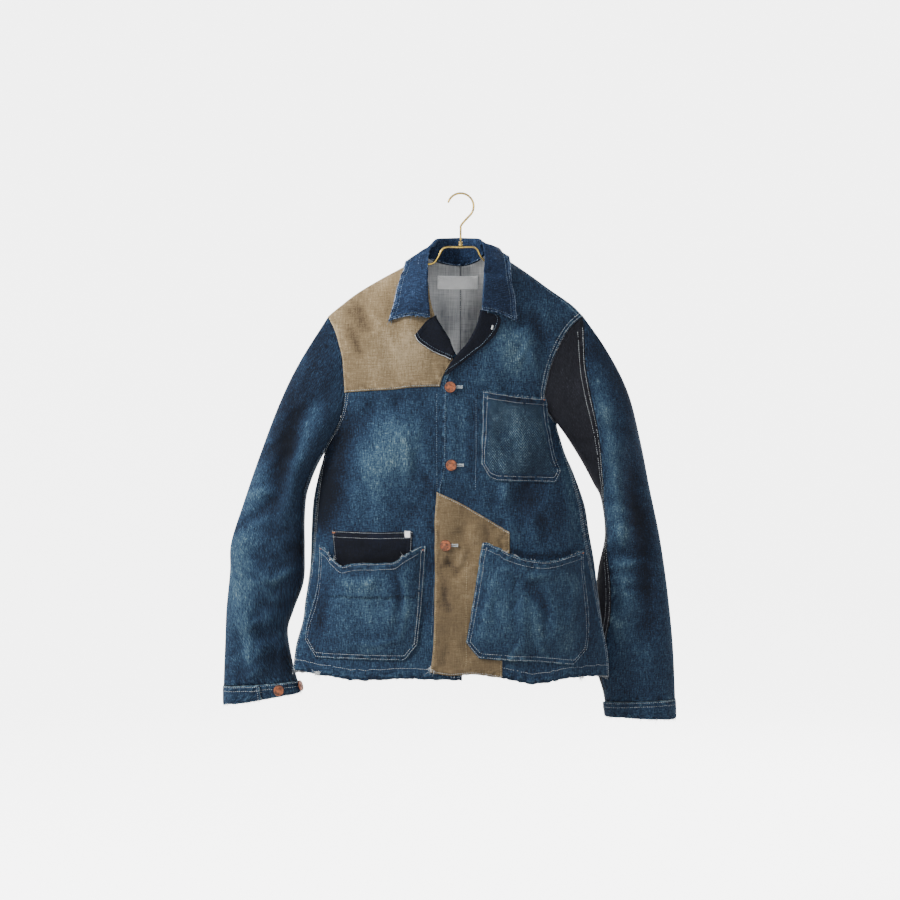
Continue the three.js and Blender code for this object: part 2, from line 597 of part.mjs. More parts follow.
function addSewnOnPieces() {
  const armhole = armholePoints(armholeFrontRight).filter(([, drop]) => drop < shoulderPatchSide);
  const [outerTop, innerTop] = pastShoulderRight;
  const shoulder = [outerTop, ...armhole, ...shoulderPatchHem, ...shoulderPatchEdge, innerTop];
  add('patch_shoulder', patch(() => 0, shoulder), 'tan');
  add('patch_front_edge', patch((x) => lap(x), frontEdgePatch), 'tan');

  const rolled = (line, x, drop) => {
    const { away } = footOnPath(line, x, drop);
    return lapelRoll.height * (1 - smoothStep(0, lapelRoll.reach, away));
  };
  const overPatch = patchCloth + layerGap;
  const onPatch = (x, drop) => overPatch + rolled(rollLineRight, x, drop);
  add('lapel_right', patch(onPatch, lapelRightOutline), 'facing');
  add('lapel_left', patch((x, drop) => lap(x) + rolled(rollLineLeft, x, drop), lapelLeftOutline), 'facing');

  add('pocket_chest', pocket((x) => lap(x), chestPocket), 'denim');
  const { right, left, bottom, ease } = toolPocketReach;
  const overTool = (x, drop) =>
    drop < bottom
      ? pocketBelow * smoothStep(right - ease, right, x) * (1 - smoothStep(left, left + ease, x))
      : 0;
  const overEdgePatch = (x) => lap(x) + pocketBelow * (1 - smoothStep(...edgePatchEase, x));
  add('pocket_lower_right', pocket(overTool, lowerPocketRight), 'denim');
  add('pocket_lower_left', pocket(overEdgePatch, lowerPocketLeft), 'denim');
  add('pocket_tool', patch(() => 0, toolPocketOutline), 'facing');
  add('tag_selvedge', patch(() => overPatch, selvedgeTagOutline), 'tape');
}

// A point of a sleeve at a share of its length and an angle from its outer edge, by way of its front.
function sleeveSurface(sleeve) {
  const outer = new THREE.SplineCurve(sleeve.outer.map(([x, drop]) => new THREE.Vector2(x, drop)));
  const inner = new THREE.SplineCurve(sleeve.inner.map(([x, drop]) => new THREE.Vector2(x, drop)));
  const [armFront, armBack] = [armholePoints(sleeve.armFront), armholePoints(sleeve.armBack)];
  const plain = (t, angle) => {
    const [a, b] = [outer.getPointAt(t), inner.getPointAt(t)];
    const middle = a.clone().add(b).multiplyScalar(0.5);
    const { x, y: drop } = middle.addScaledVector(a.sub(b), Math.cos(angle) / 2);
    const front = Math.sin(angle);
    const ownFolds = front > 0 ? sleeve.folds : sleeve.backFolds;
    const folds = foldHeight(ownFolds, x, drop) * smoothStep(0, sleeveFoldsFrom, t);
    const depth = Math.sign(front) * Math.abs(front) ** sleeveFullness * (sleeveHalfDepth(t) + folds);
    return new THREE.Vector3(x, sleeve.setBack(t) - depth, -drop);
  };
  const awayFrom = (points, k) => {
    const [[ax, ad], [bx, bd]] = [points[k], points[k + 1]];
    return new THREE.Vector3(sleeve.side * (bd - ad), 0, sleeve.side * (bx - ax)).normalize();
  };
  const onArmhole = (angle) => {
    const turn = THREE.MathUtils.euclideanModulo(angle, 2 * Math.PI);
    const front = turn <= Math.PI;
    const step = ((front ? turn : 2 * Math.PI - turn) / Math.PI) * armholeSteps;
    const points = front ? armFront : armBack;
    const k = Math.min(Math.floor(step), armholeSteps - 1);
    const [[ax, ad], [bx, bd]] = [points[k], points[k + 1]];
    const [x, drop] = [ax + (bx - ax) * (step - k), ad + (bd - ad) * (step - k)];
    const depth = bodyDepth(x, drop, front ? frontFolds : backFolds);
    const away = awayFrom(points, k);
    // near the shoulder tip and the armpit the front's and the back's own directions are blended
    const blend = (end, share) => {
      const both = awayFrom(armFront, end).add(awayFrom(armBack, end));
      away.add(both.multiplyScalar(share)).normalize();
    };
    if (step < 1) blend(0, 1 - step);
    if (step > armholeSteps - 1) blend(armholeSteps - 1, step - armholeSteps + 1);
    return { point: new THREE.Vector3(x, front ? -depth : depth, -drop), away };
  };
  const place = (t, angle) => {
    const point = plain(t, angle);
    if (t >= headBlend) return point;
    const share = 1 - smoothStep(0, headBlend, t);
    return point.addScaledVector(onArmhole(angle).point.sub(plain(0, angle)), share);
  };
  const normal = (t, angle) => {
    const [dt, da] = [0.012, 0.25]; // about half a face of the wall
    const along = place(Math.min(1, t + dt), angle).sub(place(Math.max(0, t - dt), angle));
    const round = place(t, angle + da).sub(place(t, angle - da));
    const result = round.cross(along).normalize();
    const outwards = place(t, angle).sub(place(t, angle + Math.PI));
    return result.dot(outwards) < 0 ? result.negate() : result;
  };
  return (t, angle) => {
    const cell = { point: place(t, angle), normal: normal(t, angle), x: t, drop: angle };
    if (t > 0) return cell;
    const { away } = onArmhole(angle);
    cell.point.addScaledVector(away, headClearance);
    cell.normal.addScaledVector(away, -cell.normal.dot(away)).normalize();
    return cell;
  };
}

// A grid on a sleeve between two lengths and two angles, drawn in from its seams by half a seam gap.
function sleeveGrid(surface, rows, columns, from, to, startAngle, endAngle) {
  const grid = [];
  for (let i = 0; i <= rows; i++) {
    const t = from + (to - from) * (from === 0 ? (i / rows) ** sleeveRowSpacing : i / rows);
    const [start, end] = [startAngle(t), endAngle(t)];
    const row = [];
    for (let j = 0; j <= columns; j++) row.push(surface(t, start + ((end - start) * j) / columns));
    for (const [edge, next] of [[0, 1], [columns, columns - 1]]) {
      const inwards = row[next].point.clone().sub(row[edge].point).normalize();
      row[edge].point.addScaledVector(inwards, seamGap / 2 + (t < headBlend / 3 ? headSeamEase : 0));
    }
    grid.push(row);
  }
  return grid;
}

// The cuff is a lapped band: its lower end starts under its upper end.
function cuffOffset(end) {
  const raised = end + 2 * Math.PI - cuffLap;
  return (angle) => (cuffCloth + layerGap) * smoothStep(raised - cuffLapEase, raised, angle);
}

function buttonShape() {
  const { radius, height, shank } = tackButton;
  const outline = [
    [0, 0], [shank, 0], [shank, 1], [radius - 0.6, 1], [radius, 1.9], [radius - 0.5, height - 0.6],
    [radius - 2, height], [0, height - 0.4],
  ];
  return new THREE.LatheGeometry(outline.map(([r, h]) => new THREE.Vector2(r, h)), roundSides);
}

// Height of a point off the body's cloth, along the slope there, with that slope's direction.
function heightOffBody({ x, y, z }) {
  const folds = y < 0 ? frontFolds : backFolds;
  const excess = (px, py, pz) => {
    const above = -pz < shoulderRidge(px) ? -pz - shoulderRidge(px) : bodyDepth(px, -pz, folds);
    return Math.abs(py) - above;
  };
  const step = 0.5;
  const slope = new THREE.Vector3(
    excess(x + step, y, z) - excess(x - step, y, z),
    excess(x, y + step, z) - excess(x, y - step, z),
    excess(x, y, z + step) - excess(x, y, z - step),
  ).multiplyScalar(0.5 / step);
  return { height: excess(x, y, z) / slope.length(), direction: slope.normalize() };
}

function clearOfBody(point, least) {
  for (let pass = 0; pass < 6; pass++) {
    const { height, direction } = heightOffBody(point);
    if (height < least) point.addScaledVector(direction, least - height);
  }
}

function addButton(name, { point, normal }, offset) {
  const button = add(name, buttonShape(), 'copper');
  button.position.copy(point).addScaledVector(normal, offset + layerGap);
  button.quaternion.setFromUnitVectors(new THREE.Vector3(0, 1, 0), normal);
}

function addSleeve(word, sleeve, cuffEnd, buttons, underPalette) {
  const surface = sleeveSurface(sleeve);
  const back = () => sleeveBackSeam;
  const under = () => 2 * Math.PI + sleeveBackSeam;
  const cloths = [() => -cloth, () => 0];
  const seamStart = cuffStart - seamGap / sleeveLength;
  const { upperColumns, underColumns, frontSeam } = sleeve;
  const upper = sleeveGrid(surface, sleeveRows, upperColumns, 0, seamStart, back, frontSeam);
  const lower = sleeveGrid(surface, sleeveRows, underColumns, 0, seamStart, frontSeam, under);
  add(`sleeve_upper_${word}`, wall(upper, ...cloths), 'denim');
  add(`sleeve_under_${word}`, wall(lower, ...cloths), underPalette);

  const lift = cuffOffset(cuffEnd);
  const start = () => cuffEnd - cuffLap;
  const end = () => cuffEnd + 2 * Math.PI;
  const band = sleeveGrid(surface, 2, cuffColumns, cuffStart, 1, start, end);
  const inside = (t, angle) => lift(angle) - cloth;
  add(`cuff_${word}`, wall(band, inside, (t, angle) => inside(t, angle) + cuffCloth), 'denim');
  buttons.forEach(({ t, angle }, i) =>
    addButton(`button_cuff_${word}_${i + 1}`, surface(t, angle), cuffCloth - cloth + lift(angle)),
  );
}

function addFrontButtons() {
  frontButtons.forEach(({ x, drop, over }, i) => {
    const away = (cell) => Math.hypot(cell.x - x, cell.drop - drop);
    const near = frontGrid.flat().reduce((a, b) => (away(a) < away(b) ? a : b));
    const point = new THREE.Vector3(x, -bodyDepth(x, drop, frontFolds) - seamGap / 2, -drop);
    addButton(`button_front_${i + 1}`, { point, normal: near.normal }, lap(x) + over);
  });
}

// The collar: its section climbs the stand, turns over the fold and comes down the leaf.
function addCollar() {
  const through = (part) => {
    const points = collarStations.map((station) => new THREE.Vector3(...station[part]));
    return new THREE.CatmullRomCurve3(points, false, 'centripetal');
  };
  const [seamLine, foldLine, edgeLine] = ['seam', 'fold', 'edge'].map(through);
  const grid = [];
  for (let k = 0; k <= collarSteps; k++) {
    const s = k / collarSteps;
    const [seam, fold, edge] = [seamLine.getPoint(s), foldLine.getPoint(s), edgeLine.getPoint(s)];
    const up = fold.clone().sub(seam.clone().add(edge).multiplyScalar(0.5)).normalize();
    const out = edge.clone().sub(seam);
    out.addScaledVector(up, -out.dot(up)).normalize();
    const ends = Math.max(0, 1 - Math.min(s, 1 - s) * collarSteps) * collarEndRise;
    const foldBack = fold.clone().addScaledVector(out, -foldHalf).addScaledVector(up, -foldSides);
    const foldFront = fold.clone().addScaledVector(out, foldHalf).addScaledVector(up, -foldSides);
    const leaf = (share) => {
      const swell = Math.sin(Math.PI * share);
      const point = foldFront.clone().lerp(edge, share).addScaledVector(out, leafBulge * swell);
      point.z += ends * swell;
      return point;
    };
    const stand = [seam, seam.clone().lerp(foldBack, 0.5), foldBack, fold, foldFront];
    const section = [...stand, leaf(0.25), leaf(0.5), leaf(0.75), edge];
    const behind = Math.abs(s - 0.5) < collarBackShare;
    const height = seam.x < 0 && !behind ? collarOverPatch : collarOverCloth;
    for (const point of behind ? section.slice(stand.length) : section)
      clearOfBody(point, height + overRidge.height * Math.exp(-((point.y / overRidge.reach) ** 2)));
    grid.push(section.map((point) => ({ point, x: 0, drop: 0 })));
  }
  const { clamp } = THREE.MathUtils;
  const at = (i, j) => grid[clamp(i, 0, collarSteps)][clamp(j, 0, grid[0].length - 1)].point;
  grid.forEach((row, i) =>
    row.forEach((cell, j) => {
      const along = at(i + 1, j).clone().sub(at(i - 1, j));
      const across = at(i, j + 1).clone().sub(at(i, j - 1));
      cell.normal = along.cross(across).normalize();
    }),
  );
  add('collar', wall(grid, () => -collarCloth / 2, () => collarCloth / 2), 'collar');
}

function addHanger() {
  const round = new THREE.Shape().absarc(0, 0, wire, 0, 2 * Math.PI);
  const tube = (points, steps) =>
    new THREE.ExtrudeGeometry(round, {
      steps, curveSegments: 3, extrudePath: new THREE.CatmullRomCurve3(points, false, 'centripetal'),
    });
  const flat = ([x, z]) => new THREE.Vector3(x, 0, z);
  const hook = Array.from({ length: hookTurns + 1 }, (_, k) => {
    const angle = THREE.MathUtils.degToRad(hookTip + ((hookEnd - hookTip) * k) / hookTurns);
    return flat([hookRadius * Math.cos(angle), wire - hookRadius + hookRadius * Math.sin(angle)]);
  });
  add('hanger_hook', tube([...hook, ...shaft.map(flat)], hookSteps), 'brass');
  const { radius, top, bottom } = ferrule;
  const ferruleForm = new THREE.CylinderGeometry(radius, radius, bottom - top, roundSides);
  const ferruleMesh = add('hanger_ferrule', ferruleForm, 'brass');
  ferruleMesh.rotation.x = Math.PI / 2;
  ferruleMesh.position.set(0, 0, -(top + bottom) / 2);
  add('hanger_arms', tube(armsRoute.map(([x, drop]) => flat([x, -drop])), armSteps), 'brass');
}

addFronts();
addBacks();
addSewnOnPieces();
addSleeve('right', sleeveRight, cuffEndRight, cuffButtonsRight, 'denim');
addSleeve('left', sleeveLeft, cuffEndLeft, cuffButtonsLeft, 'charcoal');
addFrontButtons();
addCollar();
addHanger();

export default jacket;
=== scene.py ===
import math

import bpy
import numpy as np
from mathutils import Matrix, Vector


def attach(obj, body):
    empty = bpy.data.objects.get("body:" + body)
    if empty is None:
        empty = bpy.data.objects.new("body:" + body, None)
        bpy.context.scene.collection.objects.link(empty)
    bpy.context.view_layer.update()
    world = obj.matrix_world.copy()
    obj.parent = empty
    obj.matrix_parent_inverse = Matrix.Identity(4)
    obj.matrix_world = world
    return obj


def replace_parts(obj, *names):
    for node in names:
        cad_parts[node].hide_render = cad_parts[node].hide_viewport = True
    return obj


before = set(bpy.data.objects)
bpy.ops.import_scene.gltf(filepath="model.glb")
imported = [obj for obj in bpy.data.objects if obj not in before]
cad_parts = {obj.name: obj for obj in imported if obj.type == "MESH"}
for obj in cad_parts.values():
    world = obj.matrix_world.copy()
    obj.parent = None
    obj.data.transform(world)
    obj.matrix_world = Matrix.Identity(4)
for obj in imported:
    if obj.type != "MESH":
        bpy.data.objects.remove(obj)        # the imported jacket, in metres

# Shapes are worked out in millimetres: x to the wearer's left, "drop" downwards from the hook, front towards -y
mm = 0.001
tau = 2 * math.pi
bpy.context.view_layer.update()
dice = np.random.default_rng(23)
frontFace, backFace = -1, 1


def smoothStep(low, high, value):
    s = np.clip((value - low) / (high - low), 0, 1)
    return s * s * (3 - 2 * s)


# a smooth curve through [key, value] pairs, each slope taken from its two neighbours, level past both ends
def profile(pairs):
    keys, values = np.array(pairs, float).T
    last = len(keys) - 1
    before, after = np.maximum(np.arange(last + 1) - 1, 0), np.minimum(np.arange(last + 1) + 1, last)
    slopes = (values[after] - values[before]) / (keys[after] - keys[before])

    def at(key):
        key = np.clip(key, keys[0], keys[-1])
        i = np.clip(np.searchsorted(keys, key, side="right") - 1, 0, last - 1)
        span = keys[i + 1] - keys[i]
        s = (key - keys[i]) / span
        level = values[i] * (1 - s) ** 2 * (1 + 2 * s) + values[i + 1] * s ** 2 * (3 - 2 * s)
        return level + span * s * (1 - s) * (slopes[i] * (1 - s) - slopes[i + 1] * s)

    return at


# a soft line through points: each stretch leaves a point along half the step between its neighbours
def softLine(points, steps=16):
    p = np.array(points, float)
    last = len(p) - 1
    slope = (p[np.minimum(np.arange(last + 1) + 1, last)] - p[np.maximum(np.arange(last + 1) - 1, 0)]) / 2
    s = (np.arange(steps) / steps).reshape((1, steps) + (1,) * (p.ndim - 1))
    a, b, leave, arrive = p[:-1, None], p[1:, None], slope[:-1, None], slope[1:, None]
    curve = a * (1 - s) ** 2 * (1 + 2 * s) + b * s ** 2 * (3 - 2 * s) + s * (1 - s) * (leave * (1 - s) - arrive * s)
    return np.concatenate([curve.reshape((-1,) + p.shape[1:]), p[-1:]])


def straightLine(points, steps=16):
    p = np.array(points, float)
    s = (np.arange(steps) / steps)[None, :, None]
    return np.concatenate([(p[:-1, None] * (1 - s) + p[1:, None] * s).reshape(-1, p.shape[1]), p[-1:]])


def lineLength(line, weights=1.0):
    return float(np.linalg.norm(np.diff(line, axis=0) * weights, axis=1).sum())


# a line as a function of the share of its length
def byLength(line, weights=1.0):
    reach = np.r_[0, np.cumsum(np.linalg.norm(np.diff(line, axis=0) * weights, axis=1))]
    reach = reach / reach[-1]
    return lambda s: np.stack([np.interp(s, reach, line[:, k]) for k in range(line.shape[1])], -1)


def unit(vectors):
    return vectors / np.maximum(np.linalg.norm(vectors, axis=-1, keepdims=True), 1e-9)


# distance from a path of [x, drop] points, and how far along it the nearest place lies, 0 to 1
def footOnPath(path, x, drop):
    away, along = np.full(np.shape(x), np.inf), np.zeros(np.shape(x))
    for i, ((ax, ad), (bx, bd)) in enumerate(zip(path[:-1], path[1:])):
        dx, dd = bx - ax, bd - ad
        s = np.clip(((x - ax) * dx + (drop - ad) * dd) / (dx * dx + dd * dd), 0, 1)
        here = np.hypot(x - ax - s * dx, drop - ad - s * dd)
        along = np.where(here < away, (i + s) / (len(path) - 1), along)
        away = np.minimum(here, away)
    return away, along


# a sum of soft bells, each across its own path and dying away at the path's ends
def foldHeight(folds, x, drop):
    total = np.zeros(np.shape(x))
    for path, width, height in folds:
        away, along = footOnPath(path, x, drop)
        total = total + height * np.exp(-(away / width) ** 2) * (1 - np.abs(2 * along - 1) ** 3)
    return total


# short creases thrown over a region, all leaning about one way
def looseCreases(count, region, lean, height, widths=(4.5, 10), reaches=(14, 40)):
    (x0, x1), (d0, d1) = region
    creases = []
    for _ in range(count):
        x, drop = dice.uniform(x0, x1), dice.uniform(d0, d1)
        turn, reach = math.radians(lean + dice.normal(0, 22)), dice.uniform(*reaches)
        dx, dd = math.sin(turn) * reach, math.cos(turn) * reach
        bend = dice.normal(0, 4)
        path = [[x - dx, drop - dd], [x + bend, drop], [x + dx, drop + dd]]
        creases.append((path, dice.uniform(*widths), dice.choice([-1, 1]) * height * dice.uniform(0.5, 1)))
    return creases


# The body: how far each side seam lies from the middle, by drop, and how deep the front and back stand
body = {
    "sideLeft": [[195, 199], [249, 181], [313, 164], [367, 154], [393, 160], [417, 167], [446, 177], [497, 191],
                 [540, 197], [588, 207], [635, 216], [689, 226], [738, 235], [777, 237]],
    "sideRight": [[195, -215], [404, -217], [441, -223], [489, -229], [553, -234], [595, -238], [649, -248],
                  [681, -252], [721, -263], [759, -268], [777, -270]],
    "backRoundLeft": [[367, 0], [400, 4], [446, 15], [497, 22], [540, 24], [588, 22], [635, 16], [689, 8], [777, 1]],
    "backRoundRight": [[404, 0], [425, 6], [441, 12], [473, 19], [505, 21], [561, 18], [609, 12], [645, 7], [681, 5],
                       [777, 1]],
    "shoulderRidge": [[-212, 196], [-196, 183], [-166, 160], [-126, 136], [-89, 116], [-59, 97], [-30, 84], [-5, 80],
                      [22, 80], [47, 86], [74, 104], [111, 129], [141, 151], [178, 177], [196, 195]],
    "halfDepth": [[90, 44], [195, 42], [400, 50], [600, 56], [790, 60]],
    "neckBulge": {"x": -3, "drop": 112, "wide": 80, "tall": 90, "depth": 26},
    "sidePower": 2.6, "sideFullness": 0.62, "topReach": 90, "topFullness": 0.75, "seamGap": 0.02,
    "cloth": 1.2, "pastHem": 792, "top": 80, "rowPower": 1.4,
}
sideLeft, sideRight = profile(body["sideLeft"]), profile(body["sideRight"])
backRoundLeft, backRoundRight = profile(body["backRoundLeft"]), profile(body["backRoundRight"])
shoulderRidge, halfDepth = profile(body["shoulderRidge"]), profile(body["halfDepth"])

frontFolds = [  # path, width and height: the ones that the whole shape has, then finer ones
    ([[-68, 367], [-112, 418], [-156, 468]], 34, 6),
    ([[-169, 171], [-158, 200], [-143, 227]], 15, -4),
    ([[-128, 330], [-170, 372], [-206, 420]], 20, -6),
    ([[-60, 480], [-90, 520], [-100, 556]], 26, -4),
    ([[-238, 600], [-226, 680], [-228, 765]], 16, -5),
    ([[105, 191], [121, 209], [134, 228], [138, 262]], 14, -7),
    ([[92, 214], [112, 240], [118, 282]], 15, 5),
    ([[60, 180], [68, 240], [66, 300]], 20, 3),
    ([[148, 375], [120, 452], [70, 520]], 22, -6),
    ([[168, 430], [178, 492], [190, 560]], 15, 5),
    ([[4, 465], [10, 520], [2, 560]], 18, -3),
    ([[212, 640], [206, 700], [208, 772]], 15, -5),
    ([[-27, 583], [-14, 590], [2, 612]], 12, -4),
    ([[-150, 182], [-130, 214], [-118, 250]], 8, 1.6),
    ([[-182, 205], [-166, 236], [-160, 268]], 7, -1.8),
    ([[-120, 150], [-112, 190], [-98, 222]], 9, -1.4),
    ([[-28, 618], [-24, 640], [-16, 668]], 6, -1.8),
    ([[8, 560], [-2, 588], [-18, 604]], 5, 1.6),
    ([[118, 176], [134, 190], [146, 214]], 7, 2.2),
    ([[150, 232], [140, 262], [126, 292]], 7, 1.8),
    ([[-100, 372], [-82, 420], [-88, 470]], 9, 1.6),
    ([[-176, 430], [-150, 470], [-146, 520]], 9, -1.8),
    ([[60, 470], [96, 500], [150, 512]], 9, 1.8),
    ([[96, 482], [130, 520], [136, 560]], 8, -1.8),
    ([[150, 450], [136, 490], [96, 540]], 8, 1.6),
    ([[-20, 330], [-12, 380], [-16, 430]], 7, 1.2),
    ([[20, 330], [18, 400], [22, 470]], 6, -1.3),
]
backFolds = [
    ([[-150, 230], [-128, 320], [-136, 430]], 24, -6),
    ([[138, 230], [118, 320], [122, 430]], 24, -6),
    ([[-52, 420], [-70, 560], [-58, 720]], 30, 6),
    ([[62, 430], [74, 560], [66, 720]], 30, 6),
    ([[0, 480], [4, 620], [0, 770]], 30, -6),
    ([[-190, 470], [-168, 560], [-178, 700]], 24, -5),
    ([[160, 470], [150, 560], [160, 700]], 24, -5),
    ([[-170, 250], [-140, 280], [-90, 296]], 10, -2.2),
    ([[160, 240], [130, 276], [84, 300]], 10, -2.2),
    ([[-30, 150], [-44, 200], [-36, 260]], 12, 1.6),
    ([[34, 150], [46, 210], [30, 260]], 12, 1.6),
    ([[-120, 560], [-104, 640], [-112, 740]], 12, 2.4),
    ([[118, 560], [104, 640], [110, 740]], 12, 2.4),
    ([[-206, 440], [-160, 470], [-120, 462]], 9, -2),
    ([[170, 420], [120, 450], [84, 440]], 9, -2),
]
for folds, lean in ((frontFolds, 12), (backFolds, -6)):
    folds += looseCreases(100, ((-220, 190), (130, 750)), lean, 1.7)
    folds += looseCreases(30, ((-220, 190), (150, 740)), lean * 2, 3.2, (9, 17), (30, 80))


# half the garment's thickness: the stated depth, rounded off towards the side seams and the shoulder ridge
def bodyDepth(x, drop, face):
    right, left = sideRight(drop), sideLeft(drop)
    across = np.minimum(1, np.abs((2 * x - right - left) / (left - right)))
    rounding = (1 - across ** body["sidePower"]) ** body["sideFullness"]
    below = np.clip((drop - shoulderRidge(x)) / body["topReach"], 0, 1)
    crown = (1 - (1 - below) ** 2) ** body["topFullness"]
    neck = body["neckBulge"]
    bulge = neck["depth"] * np.exp(-((x - neck["x"]) / neck["wide"]) ** 2 - ((drop - neck["drop"]) / neck["tall"]) ** 2)
    folds = foldHeight(frontFolds if face == frontFace else backFolds, x, drop) * np.minimum(1, 1.6 * rounding)
    return (halfDepth(drop) + bulge + folds) * rounding * crown


def bodyPoint(x, drop, face):
    depth = bodyDepth(x, drop, face)
    if face == backFace:
        across = (2 * x - sideRight(drop) - sideLeft(drop)) / (sideLeft(drop) - sideRight(drop))
        share = np.minimum(1, depth / halfDepth(drop))
        round_ = np.where(across > 0, backRoundLeft(drop), -backRoundRight(drop))
        x = x + 4 * share * (1 - share) * round_ * smoothStep(0.6, 0.9, np.abs(across))
    return np.stack([x, face * (depth + body["seamGap"] / 2), -drop + 0 * x], -1)


def bodyNormal(x, drop, face, step=1.2):
    across = bodyPoint(x + step, drop, face) - bodyPoint(x - step, drop, face)
    down = bodyPoint(x, drop + step, face) - bodyPoint(x, drop - step, face)
    return face * unit(np.cross(across, down))


# the body's own chart: p runs from side seam to side seam, q from the ridge to past the hem, both finer where it bends
def toChart(x, drop):
    right, left = sideRight(drop), sideLeft(drop)
    across = np.clip((2 * x - right - left) / (left - right), -1, 1)
    down = np.clip((drop - shoulderRidge(x)) / (body["pastHem"] - shoulderRidge(x)), 0, 1)
    return np.stack([np.arcsin(across) * 2 / np.pi, down ** (1 / body["rowPower"])], -1)


def fromChart(chart):
    across, down = np.sin(chart[..., 0] * np.pi / 2), np.clip(chart[..., 1], 0, 1) ** body["rowPower"]
    drop = body["top"] + down * (body["pastHem"] - body["top"])
    for _ in range(14):
        right, left = sideRight(drop), sideLeft(drop)
        x = (left + right) / 2 + across * (left - right) / 2
        drop = shoulderRidge(x) + down * (body["pastHem"] - shoulderRidge(x))
    return x, drop


# a grid filled in between four edges: the two blends of facing edges, less the blend of the corners
def fillBetween(top, bottom, first, last, rows, columns):
    u, v = np.linspace(0, 1, columns + 1), np.linspace(0, 1, rows + 1)
    t, b, f, l = top(u)[None], bottom(u)[None], first(v)[:, None], last(v)[:, None]
    u, v = u[None, :, None], v[:, None, None]
    corners = (1 - v) * ((1 - u) * t[:, :1] + u * t[:, -1:]) + v * ((1 - u) * b[:, :1] + u * b[:, -1:])
    return (1 - v) * t + v * b + (1 - u) * f + u * l - corners


def gridNormals(points, sign):
    return sign * unit(np.cross(np.gradient(points, axis=1), np.gradient(points, axis=0)))


# a piece of cloth on the body between its four cut edges, moved out by its lift
def bodySheet(edges, face, lift, cell):
    scale = np.array([235.0, 700.0])
    lines = {side: toChart(*edges[side].T) for side in edges}
    columns = max(4, round(max(lineLength(edges["top"]), lineLength(edges["bottom"])) / cell))
    rows = max(4, round(max(lineLength(edges["first"]), lineLength(edges["last"])) / cell))
    chart = fillBetween(*(byLength(lines[side], scale) for side in ("top", "bottom", "first", "last")), rows, columns)
    x, drop = fromChart(chart)
    points = bodyPoint(x, drop, face)
    normals = gridNormals(points, face)
    return {"x": x, "drop": drop, "points": points + normals * lift(x, drop)[..., None], "sign": face}


# distance in from the nearest cut edge of a grid, and the length run along its rows and columns
def gridReach(points):
    across = np.linalg.norm(np.diff(points, axis=1), axis=-1)
    down = np.linalg.norm(np.diff(points, axis=0), axis=-1)
    u = np.concatenate([np.zeros((len(points), 1)), np.cumsum(across, 1)], 1)
    v = np.concatenate([np.zeros((1, points.shape[1])), np.cumsum(down, 0)], 0)
    sides = np.minimum(u, u[:, -1:] - u)
    ends = np.minimum(v, v[-1:] - v)
    return sides, ends, u, v


pieces = {}       # every piece of cloth by name
sewing = {}       # stitches waiting to be joined, by the piece that they are on
fraying = {}


def makeMesh(name, points, faces, materials, smooth=True):
    mesh = bpy.data.meshes.new(name)
    mesh.from_pydata((np.asarray(points) * mm).tolist(), [], np.asarray(faces).tolist())
    mesh.polygons.foreach_set("use_smooth", np.full(len(mesh.polygons), smooth))
    for material in materials:
        mesh.materials.append(material)
    mesh.update()
    made = bpy.data.objects.new(name, mesh)
    bpy.context.scene.collection.objects.link(made)
    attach(made, "root")
    return made


def gridFaces(rows, columns, flip):
    i = (np.arange(rows - 1)[:, None] * columns + np.arange(columns - 1)).ravel()
    ring = [i, i + 1, i + columns + 1, i + columns]
    return np.stack(ring[::-1] if flip else ring, -1)


# turns a grid of points into a thin shell of cloth with its wrong side, its cut edge and its own attributes
def clothPiece(name, grid, thick, materials, fade=None, wornEdges=1.0, offset=-1.0, grain=None):
    points = grid["points"]
    rows, columns = points.shape[:2]
    made = makeMesh(name, points.reshape(-1, 3), gridFaces(rows, columns, grid["sign"] < 0), materials)
    sides, ends, u, v = gridReach(points)
    edge = np.minimum(sides, ends)
    fadeAndShadeValue = np.zeros((rows, columns)) if fade is None else fade
    # the fade attribute carries fades and painted shade alike
    for label, values in (("fade", fadeAndShadeValue), ("edge", edge * mm), ("worn", np.full((rows, columns), wornEdges))):
        made.data.attributes.new(label, "FLOAT", "POINT").data.foreach_set("value", values.ravel().astype(np.float32))
    across, down = (u - u.mean(), v) if grain is None else grain
    loops = np.zeros(len(made.data.loops), np.int64)
    made.data.loops.foreach_get("vertex_index", loops)
    weave = np.stack([across.ravel(), down.ravel()], -1)[loops] * mm
    made.data.uv_layers.new(name="weave").data.foreach_set("uv", weave.ravel().astype(np.float32))
    shell = made.modifiers.new("thickness", "SOLIDIFY")
    shell.thickness, shell.offset = thick * mm, offset
    shell.material_offset, shell.material_offset_rim = 1, 2
    pieces[name] = made
    return made


# Stitches: each is a short thread, thin and sunk at both ends, raised and full in the middle
stitchForm = {"pitch": 3.5, "length": 2.5, "radius": 0.27, "rise": 0.22, "sink": 0.25}


def sewAlong(piece, points, normals, pitch=None, length=None, radius=None, thread="pale", skip=0.0):
    pitch, length = pitch or stitchForm["pitch"], length or stitchForm["length"]
    radius = radius or stitchForm["radius"]
    reach = np.r_[0, np.cumsum(np.linalg.norm(np.diff(points, axis=0), axis=1))]
    if reach[-1] < pitch:
        return
    middles = np.arange(pitch / 2, reach[-1], pitch)
    middles = middles + dice.normal(0, 0.12, len(middles))
    if skip:
        middles = middles[dice.random(len(middles)) > skip]
    at = lambda s, table: np.stack([np.interp(s, reach, table[:, k]) for k in range(3)], -1)
    long = length * dice.uniform(0.85, 1.1, len(middles)) / 2
    sewThreads(piece, at(middles - long, points), at(middles + long, points), at(middles, normals), radius, thread)


